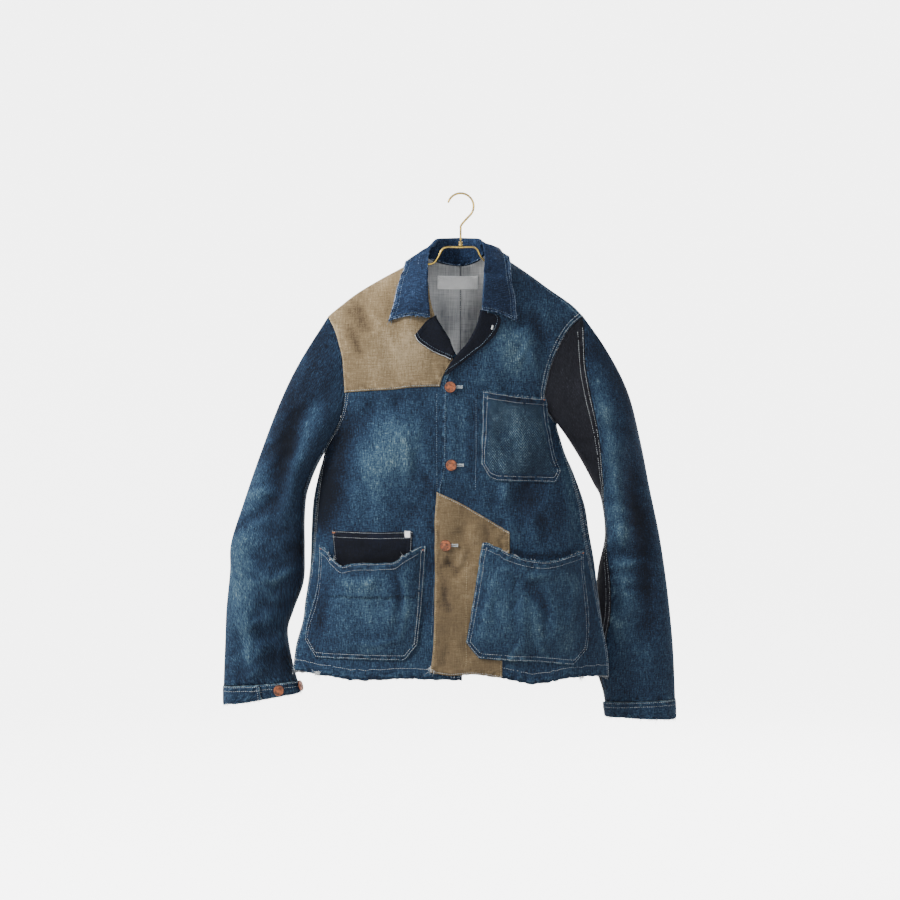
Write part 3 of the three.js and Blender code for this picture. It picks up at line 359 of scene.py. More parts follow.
# threads from starts to ends, as four square rings each
def sewThreads(piece, starts, ends, normals, radius, thread="pale", rise=None, sink=None):
    rise = stitchForm["rise"] if rise is None else rise
    sink = stitchForm["sink"] if sink is None else sink
    side = unit(np.cross(ends - starts, normals))
    rings = []
    for share, height, width in ((0, -sink, 0.35), (0.22, rise, 1), (0.78, rise, 1), (1, -sink, 0.35)):
        centre = starts + (ends - starts) * share + normals * height
        turns = [side, normals, -side, -normals]
        rings.append(np.stack([centre + turn * radius * width for turn in turns], 1))
    sewing.setdefault((piece, thread), []).append(np.stack(rings, 1).reshape(len(starts), 16, 3))


def joinedFaces(count, rings, around):
    quads = [[r * around + k, r * around + (k + 1) % around, (r + 1) * around + (k + 1) % around, (r + 1) * around + k]
             for r in range(rings - 1) for k in range(around)]
    quads += [[3, 2, 1, 0], [(rings - 1) * around + k for k in range(4)]] if around == 4 else []
    quads = np.array(quads)[:, ::-1]
    return (quads[None] + (np.arange(count) * rings * around)[:, None, None]).reshape(-1, 4)


# Frayed ends: thin threads that leave an edge and curl
def frayAlong(piece, line, outwards, normals, density, length, radius=0.16, thread="fray"):
    reach = np.r_[0, np.cumsum(np.linalg.norm(np.diff(line, axis=0), axis=1))]
    count = int(reach[-1] * density)
    s = dice.uniform(0, reach[-1], count)
    at = lambda table: np.stack([np.interp(s, reach, table[:, k]) for k in range(3)], -1)
    start, out, normal = at(line), unit(at(outwards)), unit(at(normals))
    along = unit(np.cross(out, normal))
    long = length * dice.gamma(2.2, 0.42, count)[:, None]
    lean, lift = dice.normal(0, 0.7, (count, 1)), dice.normal(0, 0.35, (count, 1))
    curl = dice.normal(0, 0.5, (count, 1))
    rings = []
    for share, width in ((-0.25, 1.0), (0.4, 1.0), (0.75, 0.8), (1.0, 0.25)):
        centre = start + long * (out * share + along * (lean * share + curl * share ** 2) + normal * lift * share)
        turns = [along, (normal - along) / 1.4, (-normal - along) / 1.4]
        rings.append(np.stack([centre + turn * radius * width for turn in turns], 1))
    fraying.setdefault((piece, thread), []).append(np.stack(rings, 1).reshape(count, 12, 3))


def linePath(points, soft=True, cell=2.0):
    line = softLine(points) if soft else straightLine(points)
    count = max(3, int(lineLength(line) / cell))
    return byLength(line)(np.linspace(0, 1, count + 1))


# stitches along [x, drop] points on a face of the body, on top of a piece with this lift
def sewOnBody(piece, face, points, lift, soft=True, **how):
    x, drop = linePath(points, soft).T
    normals = bodyNormal(x, drop, face)
    sewAlong(piece, bodyPoint(x, drop, face) + normals * lift(x, drop)[:, None], normals, **how)


# a row of stitches a fixed way in from one edge of a grid
def sewInside(piece, grid, side, inset, start=0.0, end=0.0, **how):
    points = grid["points"]
    normals = gridNormals(points, grid["sign"])
    if side in ("top", "bottom"):
        points, normals = points.transpose(1, 0, 2), normals.transpose(1, 0, 2)
    if side in ("last", "bottom"):
        points, normals = points[:, ::-1], normals[:, ::-1]
    steps = np.linalg.norm(np.diff(points, axis=1), axis=-1)
    reach = np.concatenate([np.zeros((len(points), 1)), np.cumsum(steps, 1)], 1)
    inset = np.minimum(np.broadcast_to(inset, (len(points),)), reach[:, -1])
    k = np.clip((reach < inset[:, None]).sum(1) - 1, 0, reach.shape[1] - 2)
    row = np.arange(len(points))
    share = ((inset - reach[row, k]) / np.maximum(reach[row, k + 1] - reach[row, k], 1e-6))[:, None]
    line = points[row, k] * (1 - share) + points[row, k + 1] * share
    off = normals[row, k] * (1 - share) + normals[row, k + 1] * share
    run = np.r_[0, np.cumsum(np.linalg.norm(np.diff(line, axis=0), axis=1))]
    kept = (run >= start) & (run <= run[-1] - end)
    sewAlong(piece, line[kept], unit(off[kept]), **how)


# a bar of close stitches, or one side of a buttonhole: threads laid across a short line
def sewBar(piece, centre, along, normal, length, width, count, thread, radius=0.3):
    along, normal = unit(np.array(along, float)), unit(np.array(normal, float))
    across = np.cross(along, normal)
    s = np.linspace(-0.5, 0.5, count)[:, None]
    middle = np.array(centre) + along * length * s
    wobble = dice.normal(0, 0.12, (count, 1))
    starts, ends = middle - across * (width / 2 + wobble), middle + across * (width / 2 - wobble)
    sewThreads(piece, starts, ends, np.broadcast_to(normal, starts.shape), radius, thread, rise=0.45, sink=0.1)


# sums the listed fades and painted shade along their paths
def fadeAndShadeOver(fadesAndShade, x, drop):
    return foldHeight([(path, width, strength) for path, width, strength in fadesAndShade], x, drop)


# Shader maths as Python expressions: one socket with the operators that the finishes use
class Flow:
    def __init__(self, shop, socket):
        self.shop, self.socket = shop, socket

    def __add__(self, other): return self.shop.maths("ADD", self, other)
    def __radd__(self, other): return self.shop.maths("ADD", other, self)
    def __sub__(self, other): return self.shop.maths("SUBTRACT", self, other)
    def __rsub__(self, other): return self.shop.maths("SUBTRACT", other, self)
    def __mul__(self, other): return self.shop.maths("MULTIPLY", self, other)
    def __rmul__(self, other): return self.shop.maths("MULTIPLY", other, self)
    def __truediv__(self, other): return self.shop.maths("DIVIDE", self, other)
    def __pow__(self, other): return self.shop.maths("POWER", self, other)


class Finish:
    def __init__(self, name, **fixed):
        self.material = bpy.data.materials.new(name)
        self.material.use_nodes = True
        self.tree = self.material.node_tree
        self.tree.nodes.clear()
        self.shader = self.tree.nodes.new("ShaderNodeBsdfPrincipled")
        out = self.tree.nodes.new("ShaderNodeOutputMaterial")
        self.tree.links.new(self.shader.outputs[0], out.inputs["Surface"])
        for socket, value in fixed.items():
            self.shader.inputs[socket.replace("_", " ")].default_value = value

    # any node by its type: its settings are set first, then its sockets by name or number
    def node(self, kind, settings=None, inputs=None, out=0):
        made = self.tree.nodes.new(kind)
        for key, value in (settings or {}).items():
            if key == "stops":
                ramp = made.color_ramp.elements
                while len(ramp) < len(value):
                    ramp.new(0.5)
                for stop, (place, colour) in zip(ramp, value):
                    stop.position, stop.color = place, colour
            else:
                setattr(made, key, value)
        for key, value in (inputs or {}).items():
            if isinstance(value, Flow):
                self.tree.links.new(value.socket, made.inputs[key])
            else:
                made.inputs[key].default_value = value
        return Flow(self, made.outputs[out])

    def maths(self, operation, *values, clamp=False):
        return self.node("ShaderNodeMath", {"operation": operation, "use_clamp": clamp}, dict(enumerate(values)))

    def clamp(self, value): return self.maths("ADD", value, 0.0, clamp=True)
    def sine(self, value): return self.maths("SINE", value)
    def least(self, a, b): return self.maths("MINIMUM", a, b)
    def size(self, value): return self.maths("ABSOLUTE", value)
    def part(self, value): return self.maths("FRACT", value)

    # 0 below low and 1 above high, with soft ends
    def step(self, value, low, high):
        return self.node("ShaderNodeMapRange", {"interpolation_type": "SMOOTHSTEP"},
                         {"Value": value, "From Min": low, "From Max": high})

    # 1 on a line at a value, falling off over a width
    def band(self, value, middle, width):
        gap = (value - middle) * (1 / width)
        return self.maths("POWER", math.e, 0 - gap * gap)

    def mix(self, share, a, b, blend="MIX"):
        return self.node("ShaderNodeMix", {"data_type": "RGBA", "blend_type": blend}, {0: share, 6: a, 7: b}, 2)

    def ramp(self, value, stops):
        return self.node("ShaderNodeValToRGB", {"stops": stops}, {0: value})

    def stretched(self, where, scale, turn=0.0):
        return self.node("ShaderNodeMapping", inputs={0: where, 2: (0, 0, turn), 3: scale})

    def noise(self, where, scale, detail=2.0, rough=0.5):
        return self.node("ShaderNodeTexNoise", inputs={"Vector": where, "Scale": scale, "Detail": detail,
                                                       "Roughness": rough})

    def own(self, label): return self.node("ShaderNodeAttribute", {"attribute_name": label}, out=2)
    def objectPlace(self): return self.node("ShaderNodeTexCoord", out=3)
    def weavePlace(self): return self.node("ShaderNodeUVMap", {"uv_map": "weave"})

    def split(self, where):
        parts = self.node("ShaderNodeSeparateXYZ", inputs={0: where}).socket.node
        return Flow(self, parts.outputs[0]), Flow(self, parts.outputs[1])

    def feed(self, **sockets):
        for socket, value in sockets.items():
            self.tree.links.new(value.socket, self.shader.inputs[socket.replace("_", " ")])
        return self.material

    def bump(self, height, strength=1.0):
        return self.node("ShaderNodeBump", inputs={"Strength": strength, "Distance": 1.0, "Height": height})


def colour(code):
    parts = [int(code[i:i + 2], 16) / 255 for i in (0, 2, 4)]
    return tuple(c / 12.92 if c <= 0.04045 else ((c + 0.055) / 1.055) ** 2.4 for c in parts) + (1,)


# Washed denim: tone = base + fades and painted shade + blotches + slubs of warp and weft + worn edges, through a dye
# ramp.
# The fades and painted shade are broken up: each is multiplied by a streaky noise, and light threads take them first.
def denimFinish(name, dye, base, slub=1.0, blotch=0.16, wear=0.42, pucker=1.0, herringbone=0.0, fadeAndShadeGain=1.0):
    shop = Finish(name, Specular_IOR_Level=0.06)
    weave, place = shop.weavePlace(), shop.objectPlace()
    across, down = shop.split(weave)
    edge = shop.own("edge")
    warp = shop.noise(shop.stretched(weave, (620, 85, 1)), 1, 2, 0.6)      # slubs down the cloth
    weft = shop.noise(shop.stretched(weave, (95, 560, 1)), 1, 2, 0.6)
    heather = shop.noise(shop.stretched(weave, (430, 380, 1)), 1, 2, 0.7)
    cloud = shop.noise(place, 10, 4, 0.6)
    patchy = shop.noise(shop.stretched(weave, (60, 34, 1)), 1, 3, 0.6)
    streak = shop.noise(shop.stretched(weave, (95, 9, 1)), 1, 2, 0.5)
    twill = shop.sine((across * 0.62 + down) * (tau / 0.00105))
    grain = ((warp - 0.5) * 0.9 + (weft - 0.5) * 0.45 + (heather - 0.5) * 1.0) * slub
    # fades where the denim was rubbed, with painted shade in creases, at the sides and under edges and pocket mouths
    fadedAndShaded = shop.own("fade") * fadeAndShadeGain * (0.82 + (patchy - 0.5) * 0.8 + (warp - 0.5) * 0.3)
    tone = base + fadedAndShaded + (cloud - 0.5) * (blotch * 2) + ((patchy + streak) * 0.55 - 0.55) * blotch + grain
    tone = tone + twill * 0.014
    ragged = shop.noise(place, 190, 3, 0.7)
    rubbed = (1 - shop.step(edge, 0.0002, 0.0026)) * shop.step(ragged, 0.36, 0.62) * shop.own("worn")
    ridges = shop.noise(shop.stretched(weave, (105, 105, 1)), 1, 1, 0.5)
    seamRidge = (1 - shop.step(edge, 0.004, 0.015)) * (ridges - 0.5)
    tone = tone + rubbed * wear + seamRidge * (0.75 * pucker)
    tone = tone - (1 - shop.step(edge, 0.0, 0.0014)) * (1 - shop.own("worn")) * 0.5
    if herringbone:
        zig = shop.size(shop.part(across * (1 / 0.0125)) - 0.5) * 0.0125
        rib = shop.sine((down + zig * 1.6) * (tau / 0.0046))
        tone = tone + rib * herringbone * shop.step(edge, 0.010, 0.015)
    groove = shop.band(edge, 0.0026, 0.0010) + shop.band(edge, 0.0088, 0.0010)
    height = twill * 0.00004 + (warp - 0.5) * 0.00035 + (heather - 0.5) * 0.0005 + (cloud - 0.5) * 0.0012
    height = height + seamRidge * (0.0058 * pucker) - groove * 0.0004
    wrinkle = shop.noise(place, 30, 3, 0.5)
    height = height + (wrinkle - 0.5) * 0.0034
    return shop.feed(Base_Color=shop.ramp(tone, [(at, colour(code)) for at, code in dye]),
                     Roughness=shop.clamp(0.84 + (heather - 0.5) * 0.2), Normal=shop.bump(height))


# Plain canvas: thick threads over and under, flecked, darker in its creases as painted shade, lighter where rubbed
def canvasFinish(name, dark, middle, light, flecks, thread=0.0014, mottle=0.5):
    shop = Finish(name, Specular_IOR_Level=0.08)
    weave, place = shop.weavePlace(), shop.objectPlace()
    across, down = shop.split(weave)
    edge = shop.own("edge")
    warp = shop.noise(shop.stretched(weave, (560, 60, 1)), 1, 2, 0.6)
    weft = shop.noise(shop.stretched(weave, (60, 560, 1)), 1, 2, 0.6)
    speck = shop.noise(shop.stretched(weave, (430, 430, 1)), 1, 2, 0.7)
    cloud = shop.noise(place, 14, 3, 0.6)
    checker = shop.sine(across * (tau / thread)) * shop.sine(down * (tau / thread))
    tone = 0.5 + (warp - 0.5) * 0.55 + (weft - 0.5) * 0.55 + (speck - 0.5) * mottle + (cloud - 0.5) * 0.5
    ridges = shop.noise(shop.stretched(weave, (110, 110, 1)), 1, 1, 0.5)
    seamRidge = (1 - shop.step(edge, 0.004, 0.014)) * (ridges - 0.5)
    # painted shade in creases and under the lapel, lighter where rubbed, from the fade attribute
    tone = tone + shop.own("fade") + checker * 0.04 + seamRidge * 0.5
    worn = (1 - shop.step(edge, 0.0003, 0.0026)) * shop.own("worn")
    cloth = shop.ramp(tone + worn * 0.25, [(0.12, colour(dark)), (0.5, colour(middle)), (0.88, colour(light))])
    fleck = shop.step(shop.noise(shop.stretched(weave, (520, 180, 1)), 1, 2, 0.6), 0.66, 0.74)
    height = checker * 0.00009 + (speck - 0.5) * 0.0003 + (cloud - 0.5) * 0.0008 + seamRidge * 0.003
    height = height - shop.band(edge, 0.0026, 0.001) * 0.0003
    return shop.feed(Base_Color=shop.mix(fleck * 0.35, cloth, colour(flecks)),
                     Roughness=shop.clamp(0.88 + checker * 0.05), Normal=shop.bump(height))


# Grey wrong side of the denim: pale weft with a faint indigo warp between
def reverseFinish(name, dark, light):
    shop = Finish(name, Specular_IOR_Level=0.08)
    weave, place = shop.weavePlace(), shop.objectPlace()
    across, down = shop.split(weave)
    warp = shop.noise(shop.stretched(weave, (480, 30, 1)), 1, 2, 0.6)
    weft = shop.noise(shop.stretched(weave, (40, 480, 1)), 1, 2, 0.6)
    cloud = shop.noise(place, 16, 3, 0.6)
    twill = shop.sine((down - across * 0.62) * (tau / 0.0012))
    # the fade attribute counts double here, so its painted shadows inside the neck show on the wrong side
    tone = 0.5 + (warp - 0.5) * 0.7 + (weft - 0.5) * 0.5 + (cloud - 0.5) * 0.6 + twill * 0.04 + shop.own("fade") * 2
    tone = tone - (1 - shop.step(shop.own("edge"), 0.0, 0.0015)) * 1.2
    height = (warp - 0.5) * 0.0003 + (cloud - 0.5) * 0.0014
    return shop.feed(Base_Color=shop.ramp(tone, [(0.15, colour(dark)), (0.85, colour(light))]),
                     Roughness=shop.clamp(0.86 + (weft - 0.5) * 0.1), Normal=shop.bump(height))


# Cotton thread and frayed ends, a little uneven in tone
def threadFinish(name, dark, light):
    shop = Finish(name, Specular_IOR_Level=0.25)
    grain = shop.noise(shop.objectPlace(), 900, 2, 0.6)
    drift = shop.noise(shop.objectPlace(), 22, 2, 0.5)
    tone = grain * 0.6 + drift * 0.7 - 0.15
    return shop.feed(Base_Color=shop.ramp(tone, [(0.2, colour(dark)), (0.8, colour(light))]),
                     Roughness=shop.clamp(0.74 + grain * 0.12), Normal=shop.bump(grain * 0.00008))


# Metal with dull patches, darker where it is tarnished, and fine scratches
def metalFinish(name, bright, dull, rough, patch=60):
    shop = Finish(name)
    place = shop.objectPlace()
    tarnish = shop.step(shop.noise(place, patch, 4, 0.6), 0.35, 0.7)
    scratch = shop.noise(shop.stretched(place, (900, 140, 900), 0.5), 1, 2, 0.6)
    return shop.feed(Base_Color=shop.mix(tarnish, colour(bright), colour(dull)),
                     Metallic=shop.clamp(1 - tarnish * 0.35),
                     Roughness=shop.clamp(rough + tarnish * 0.18 + (scratch - 0.5) * 0.2),
                     Normal=shop.bump(scratch * 0.00003 + tarnish * 0.00002))


indigo = [(0.0, "05080f"), (0.22, "0d1523"), (0.44, "192a3f"), (0.62, "2b4155"), (0.8, "425967"), (1.0, "6e828a")]
collarIndigo = [(0.0, "060912"), (0.25, "0c1524"), (0.5, "17263e"), (0.75, "314664"), (1.0, "8593a8")]
navy = [(0.0, "020306"), (0.35, "06080f"), (0.65, "0e1320"), (1.0, "30394f")]
charcoal = [(0.0, "06070a"), (0.35, "0e0f14"), (0.65, "191a21"), (1.0, "44454e")]

denim = denimFinish("denim", indigo, 0.45)
denimSleeve = denimFinish("denim-sleeve", indigo, 0.40, slub=1.05, blotch=0.15)
denimHerringbone = denimFinish("denim-herringbone", indigo, 0.42, slub=1.1, blotch=0.12, herringbone=0.34)
denimCollar = denimFinish("denim-collar", collarIndigo, 0.46, slub=0.9, blotch=0.2, wear=0.5)
denimFacing = denimFinish("denim-facing", navy, 0.38, slub=0.7, blotch=0.12, wear=0.3, pucker=0.6)
denimCharcoal = denimFinish("denim-charcoal", charcoal, 0.42, slub=1.1, blotch=0.14, wear=0.3)
denimReverse = reverseFinish("denim-reverse", "75777b", "c6c7c7")
# a dark wrong side: the navy facings' own colour, and painted shade inside the lower pockets' open mouths
darkReverseAndPocketShade = reverseFinish("dark-reverse-and-pocket-shade", "2a3040", "525a6a")
canvasTan = canvasFinish("canvas-tan", "45392a", "726249", "a08f72", "3d3224")
canvasBrown = canvasFinish("canvas-brown", "42372a", "67573f", "88775c", "3a2f22")
canvasReverse = reverseFinish("canvas-reverse", "5f5340", "857559")
tapeWhite = canvasFinish("tape-white", "f4f4f2", "fcfcfa", "ffffff", "e6e8e9", thread=0.0006, mottle=0.15)
threadPale = threadFinish("thread-pale", "8b969e", "d8dddd")
threadBlue = threadFinish("thread-blue", "3d546b", "8b9dab")
threadTan = threadFinish("thread-tan", "8d7a58", "c9b78f")
threadCopper = threadFinish("thread-copper", "6b3a22", "b06c44")
frayWhite = threadFinish("fray-white", "b9c2c8", "f4f4f0")
frayBlue = threadFinish("fray-blue", "33506e", "8ba4b8")
frayEdge = denimFinish("frayed-edge", indigo, 0.66, slub=1.2, blotch=0.2, wear=0.1)
copper = metalFinish("copper", "5c3524", "2e1b12", 0.5, 240)
brass = metalFinish("brass", "7c6832", "4c4126", 0.32, 70)
threads = {"pale": threadPale, "blue": threadBlue, "tan": threadTan, "copper": threadCopper, "white": frayWhite,
           "fray": frayWhite, "frayBlue": frayBlue}
print("finishes made")

def ridgeLine(x0, x1):
    x = np.linspace(x0, x1, 60)
    return np.stack([x, shoulderRidge(x)], -1)


def sideLine(side, drop0, drop1):
    drop = np.linspace(drop0, drop1, 90)
    return np.stack([side(drop), drop], -1)


# a cut edge that has lost threads: its drop wanders a little
def raggedLine(line, amount):
    s = np.linspace(0, 1, 400)
    even = byLength(np.asarray(line, float))(s)
    even[:, 1] += amount * np.convolve(dice.normal(0, 1, 400 + 8), np.ones(9) / 3, "valid")
    return even


cuts = {
    "armholeFrontRight": [[-212, 196], [-201, 217], [-194, 238], [-188, 262], [-186, 284], [-184, 320], [-188, 348],
                          [-199, 377], [-217, 404]],
    "armholeBackRight": [[-212, 196], [-200, 233], [-192, 281], [-190, 329], [-198, 375], [-217, 404]],
    "armholeFrontLeft": [[196, 195], [177, 211], [163, 231], [151, 255], [142, 279], [136, 305], [133, 326], [138, 347],
                         [154, 367]],
    "armholeBackLeft": [[196, 195], [173, 233], [157, 273], [149, 313], [146, 343], [154, 367]],
    "rollRight": [[-59, 97], [-52, 145], [-47, 177], [-38, 207], [-21, 236], [-7, 259], [-3, 268]],
    "rollLeft": [[47, 86], [37, 137], [34, 169], [32, 198], [24, 222], [12, 243], [-7, 265], [-25, 292], [-29, 308]],
    "edgeRight": [[-3, 268], [2, 329], [4, 457], [2, 771]],
    "edgeLeft": [[-29, 308], [-30, 400], [-31, 438], [-38, 475], [-41, 538], [-41, 628], [-43, 713], [-48, 758]],
    "hemRight": [[-272, 758], [-227, 764], [-196, 768], [-150, 771], [-99, 768], [-54, 768], [2, 771]],
    "hemLeft": [[-48, 758], [-17, 763], [20, 761], [65, 767], [106, 776], [127, 776], [170, 770], [213, 767],
                [241, 770]],
    "hemBackRight": [[-276, 764], [-190, 772], [-90, 774], [-0.02, 772]],
    "hemBackLeft": [[0.02, 772], [90, 776], [170, 772], [246, 774]],
    "neckRight": [[-59, 97], [-42, 104], [-22, 108], [-0.02, 110]],
    "neckLeft": [[0.02, 110], [15, 108], [32, 101], [47, 86]],
}
panelCell = 3.7
lap = lambda x, drop: 2.0 * (1 - smoothStep(10, 62, x)) + 0 * drop     # the left front lies on the right one
level = lambda amount: lambda x, drop: amount + 0 * (x + drop)

panels = {
    "front_right": {"face": frontFace, "lift": level(0.0), "top": ridgeLine(-212, -59),
                    "first": [softLine(cuts["armholeFrontRight"]), sideLine(sideRight, 405, 758)],
                    "last": [softLine(cuts["rollRight"]), straightLine(cuts["edgeRight"])[1:]],
                    "bottom": raggedLine(softLine(cuts["hemRight"]), 0.7)},
    "front_left": {"face": frontFace, "lift": lap, "top": ridgeLine(47, 196),
                   "first": [softLine(cuts["rollLeft"]), softLine(cuts["edgeLeft"])[1:]],
                   "last": [softLine(cuts["armholeFrontLeft"]), sideLine(sideLeft, 368, 770)],
                   "bottom": raggedLine(softLine(cuts["hemLeft"]), 0.7)},
    "back_right": {"face": backFace, "lift": level(0.0), "top": [ridgeLine(-212, -59), softLine(cuts["neckRight"])[1:]],
                   "first": [softLine(cuts["armholeBackRight"]), sideLine(sideRight, 405, 764)],
                   "last": straightLine([[-0.02, 110], [-0.02, 772]], 90),
                   "bottom": raggedLine(softLine(cuts["hemBackRight"]), 0.7)},
    "back_left": {"face": backFace, "lift": level(0.0), "top": [softLine(cuts["neckLeft"]), ridgeLine(47, 196)[1:]],
                  "first": straightLine([[0.02, 110], [0.02, 772]], 90),
                  "last": [softLine(cuts["armholeBackLeft"]), sideLine(sideLeft, 368, 774)],
                  "bottom": raggedLine(softLine(cuts["hemBackLeft"]), 0.7)},
}

# Fades and painted shade on the body, as paths with a width and a strength: light where it was rubbed, darker
# elsewhere, painted shade where noted
frontFadesAndShade = [
    ([[-76, 345], [-112, 410], [-150, 465], [-160, 530]], 44, 0.15),
    # painted shade down the side, beside the sleeve
    ([[-212, 420], [-220, 480], [-226, 540]], 24, -0.22),
    ([[-60, 520], [-50, 600], [-56, 690]], 14, -0.08),
    # painted shade down the side, beside the sleeve
    ([[-222, 420], [-226, 500], [-236, 560]], 16, -0.12),
    # painted shadows under the two lower pockets' mouths (this line and the next)
    ([[-215, 560], [-180, 586], [-110, 582], [-60, 558]], 5, -0.30),
    ([[40, 550], [72, 566], [110, 577], [160, 575], [190, 564]], 5, -0.30),
    ([[20, 500], [24, 560], [14, 640]], 12, -0.08),
    ([[-60, 350], [-74, 400], [-92, 450]], 16, 0.05),
    # painted shade by the armhole and down the side
    ([[-180, 322], [-196, 400], [-212, 500], [-222, 560]], 28, -0.34),
    ([[-44, 330], [-44, 420], [-50, 500]], 15, -0.10),
    # painted shadow line under the shoulder patch's lower edge
    ([[-200, 330], [-120, 322], [-40, 322]], 7, -0.12),
    ([[-214, 520], [-60, 536], [-40, 580]], 20, -0.08),
    ([[68, 205], [84, 255], [94, 305]], 24, 0.24),
    ([[44, 236], [36, 280], [30, 314]], 8, 0.18),
    ([[88, 120], [122, 150], [160, 190]], 24, -0.13),
    # painted shade in a crease trough
    ([[110, 190], [122, 214], [132, 250]], 7, -0.14),
    ([[122, 198], [134, 220], [128, 270]], 6, 0.10),
    ([[0, 320], [4, 390], [0, 450]], 11, 0.12),
    # painted shade in a crease trough
    ([[20, 330], [16, 400], [18, 460]], 8, -0.12),
    ([[60, 485], [120, 500], [170, 530]], 34, -0.20),
    ([[158, 375], [168, 440], [178, 520]], 8, 0.12),
    ([[214, 580], [222, 660], [228, 740]], 9, 0.08),
    ([[-240, 620], [-250, 690], [-258, 750]], 10, 0.08),
    ([[150, 262], [140, 300], [140, 330]], 9, 0.10),
]
backFadesAndShade = [
    ([[-110, 250], [-124, 320], [-118, 400]], 34, 0.20),
    ([[110, 240], [120, 320], [114, 400]], 34, 0.20),
    ([[-60, 440], [-72, 560], [-60, 700]], 26, 0.14),
    ([[66, 440], [78, 560], [68, 700]], 26, 0.14),
    # painted shade: in the centre crease trough, and down both sides (this line and the next two)
    ([[0, 480], [4, 620], [0, 760]], 26, -0.12),
    ([[-190, 450], [-180, 560], [-186, 700]], 24, -0.12),
    ([[180, 450], [176, 560], [184, 700]], 24, -0.12),
    ([[-150, 170], [-80, 150], [0, 150], [80, 150], [150, 170]], 24, 0.08),
    # painted shadow inside the neck, seen on the wrong side (this line and the next)
    ([[-34, 150], [-28, 190], [-22, 230]], 12, -0.14),
    ([[26, 160], [12, 200], [10, 250]], 12, -0.12),
]
creaseWearAndShade = {"fine": 0.062, "broad": 0.024, "limit": 11}     # per millimetre of height; finer ones get more: lighter worn ridges, troughs darker as painted shade


def panelFadeAndShade(grid, fadesAndShade, folds):
    # crease tone: ridges lighter where worn, troughs darker as painted shade
    worn = [(path, width, height * creaseWearAndShade["fine" if width < creaseWearAndShade["limit"] else "broad"])
            for path, width, height in folds]
    return fadeAndShadeOver(fadesAndShade + worn, grid["x"], grid["drop"])


def asLine(edge):
    return np.concatenate(edge) if isinstance(edge, list) else edge


def addPanels():
    grids = {}
    for name, cut in panels.items():
        edges = {side: asLine(cut[side]) for side in ("top", "bottom", "first", "last")}
        grid = bodySheet(edges, cut["face"], cut["lift"], panelCell)
        front = cut["face"] == frontFace
        # fades and painted shade, as listed for the fronts and backs
        fade = panelFadeAndShade(grid, frontFadesAndShade if front else backFadesAndShade, frontFolds if front else backFolds)
        clothPiece(name + "_cloth", grid, body["cloth"], [denim, denimReverse, frayEdge], fade, wornEdges=0.35,
                   grain=(grid["x"], grid["drop"]))
        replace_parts(pieces[name + "_cloth"], name)
        pieces[name + "_cloth"]
        grids[name] = grid
    return grids


# What is sewn on the fronts: four edges each, the lift of what lies under it, and how far it stands off
rightArm = softLine(cuts["armholeFrontRight"])
sewnOn = {
    "patch_shoulder": {
        "top": ridgeLine(-212, -59), "first": rightArm[rightArm[:, 1] < 320],
        "last": straightLine([[-59, 97], [-52, 145], [-47, 177], [-38, 207], [-21, 236], [-12, 266], [-29, 294],
                              [-33, 309]]),
        "bottom": softLine([[-184, 320], [-143, 317], [-110, 315], [-77, 311], [-33, 309]]), "cell": 2.6},
    "patch_front_edge": {
        "top": softLine([[-38, 475], [0, 493], [38, 515], [64, 531], [77, 538]]),
        "first": softLine([[-38, 475], [-41, 538], [-41, 628], [-43, 713], [-48, 758]]),
        "last": straightLine([[77, 538], [77, 572], [72, 660], [65, 740], [65, 767]]),
        "bottom": softLine([[-48, 758], [-17, 763], [20, 761], [65, 767]]), "cell": 2.2},
    "pocket_chest": {
        "top": softLine([[34, 315], [46, 317], [91, 324], [133, 327]]),
        "first": softLine([[34, 315], [33, 370], [32, 430]]),
        "last": softLine([[133, 327], [136, 337], [138, 362], [143, 389], [149, 417], [157, 437], [158, 444]]),
        "bottom": straightLine([[32, 430], [45, 453], [57, 458], [149, 461], [158, 444]]),
        "centre": [92, 380], "half": [62, 72], "puff": 4, "cell": 1.9},
    "pocket_lower_right": {
        "top": softLine([[-222, 561], [-209, 567], [-198, 580], [-182, 592], [-164, 588], [-108, 586], [-91, 576],
                         [-69, 563], [-57, 561]]),
        "first": softLine([[-222, 561], [-228, 625], [-244, 684], [-247, 711]]),
        "last": softLine([[-57, 561], [-55, 569], [-60, 642], [-68, 714]]),
        "bottom": straightLine([[-247, 711], [-229, 738], [-88, 740], [-68, 714]]),
        "centre": [-144, 640], "half": [84, 96], "puff": 11, "cell": 2.0},
    "pocket_lower_left": {
        "top": softLine([[34, 554], [55, 561], [72, 571], [106, 582], [139, 584], [166, 578], [194, 569]]),
        "first": softLine([[34, 554], [25, 608], [17, 660], [8, 710]]),
        "last": softLine([[194, 569], [196, 600], [202, 650], [204, 693], [200, 725]]),
        "bottom": straightLine([[8, 710], [29, 736], [64, 739], [127, 743], [177, 749], [200, 725]]),
        "centre": [108, 640], "half": [88, 92], "puff": 11, "cell": 2.0},
    "pocket_tool": {
        "top": softLine([[-204, 536], [-140, 538], [-75, 537]]), "first": straightLine([[-204, 536], [-196, 614]]),
        "last": straightLine([[-75, 537], [-80, 616]]), "bottom": straightLine([[-196, 614], [-80, 616]]), "cell": 2.0},
}
patchRise = 1.5        # outer side of a patch over its panel
toolReach = {"right": -206, "left": -74, "bottom": 640, "ease": 16}


def overTool(x, drop):
    sides = smoothStep(toolReach["right"] - toolReach["ease"], toolReach["right"], x)
    sides = sides * (1 - smoothStep(toolReach["left"], toolReach["left"] + toolReach["ease"], x))
    return np.where(drop < toolReach["bottom"], 2.4 * sides, 0)


def overEdgePatch(x, drop):
    return lap(x, drop) + 2.4 * (1 - smoothStep(96, 112, x))


underLift = {"patch_shoulder": level(0.0), "patch_front_edge": lap, "pocket_chest": lap, "pocket_lower_right": overTool,
             "pocket_lower_left": overEdgePatch, "pocket_tool": level(0.0)}


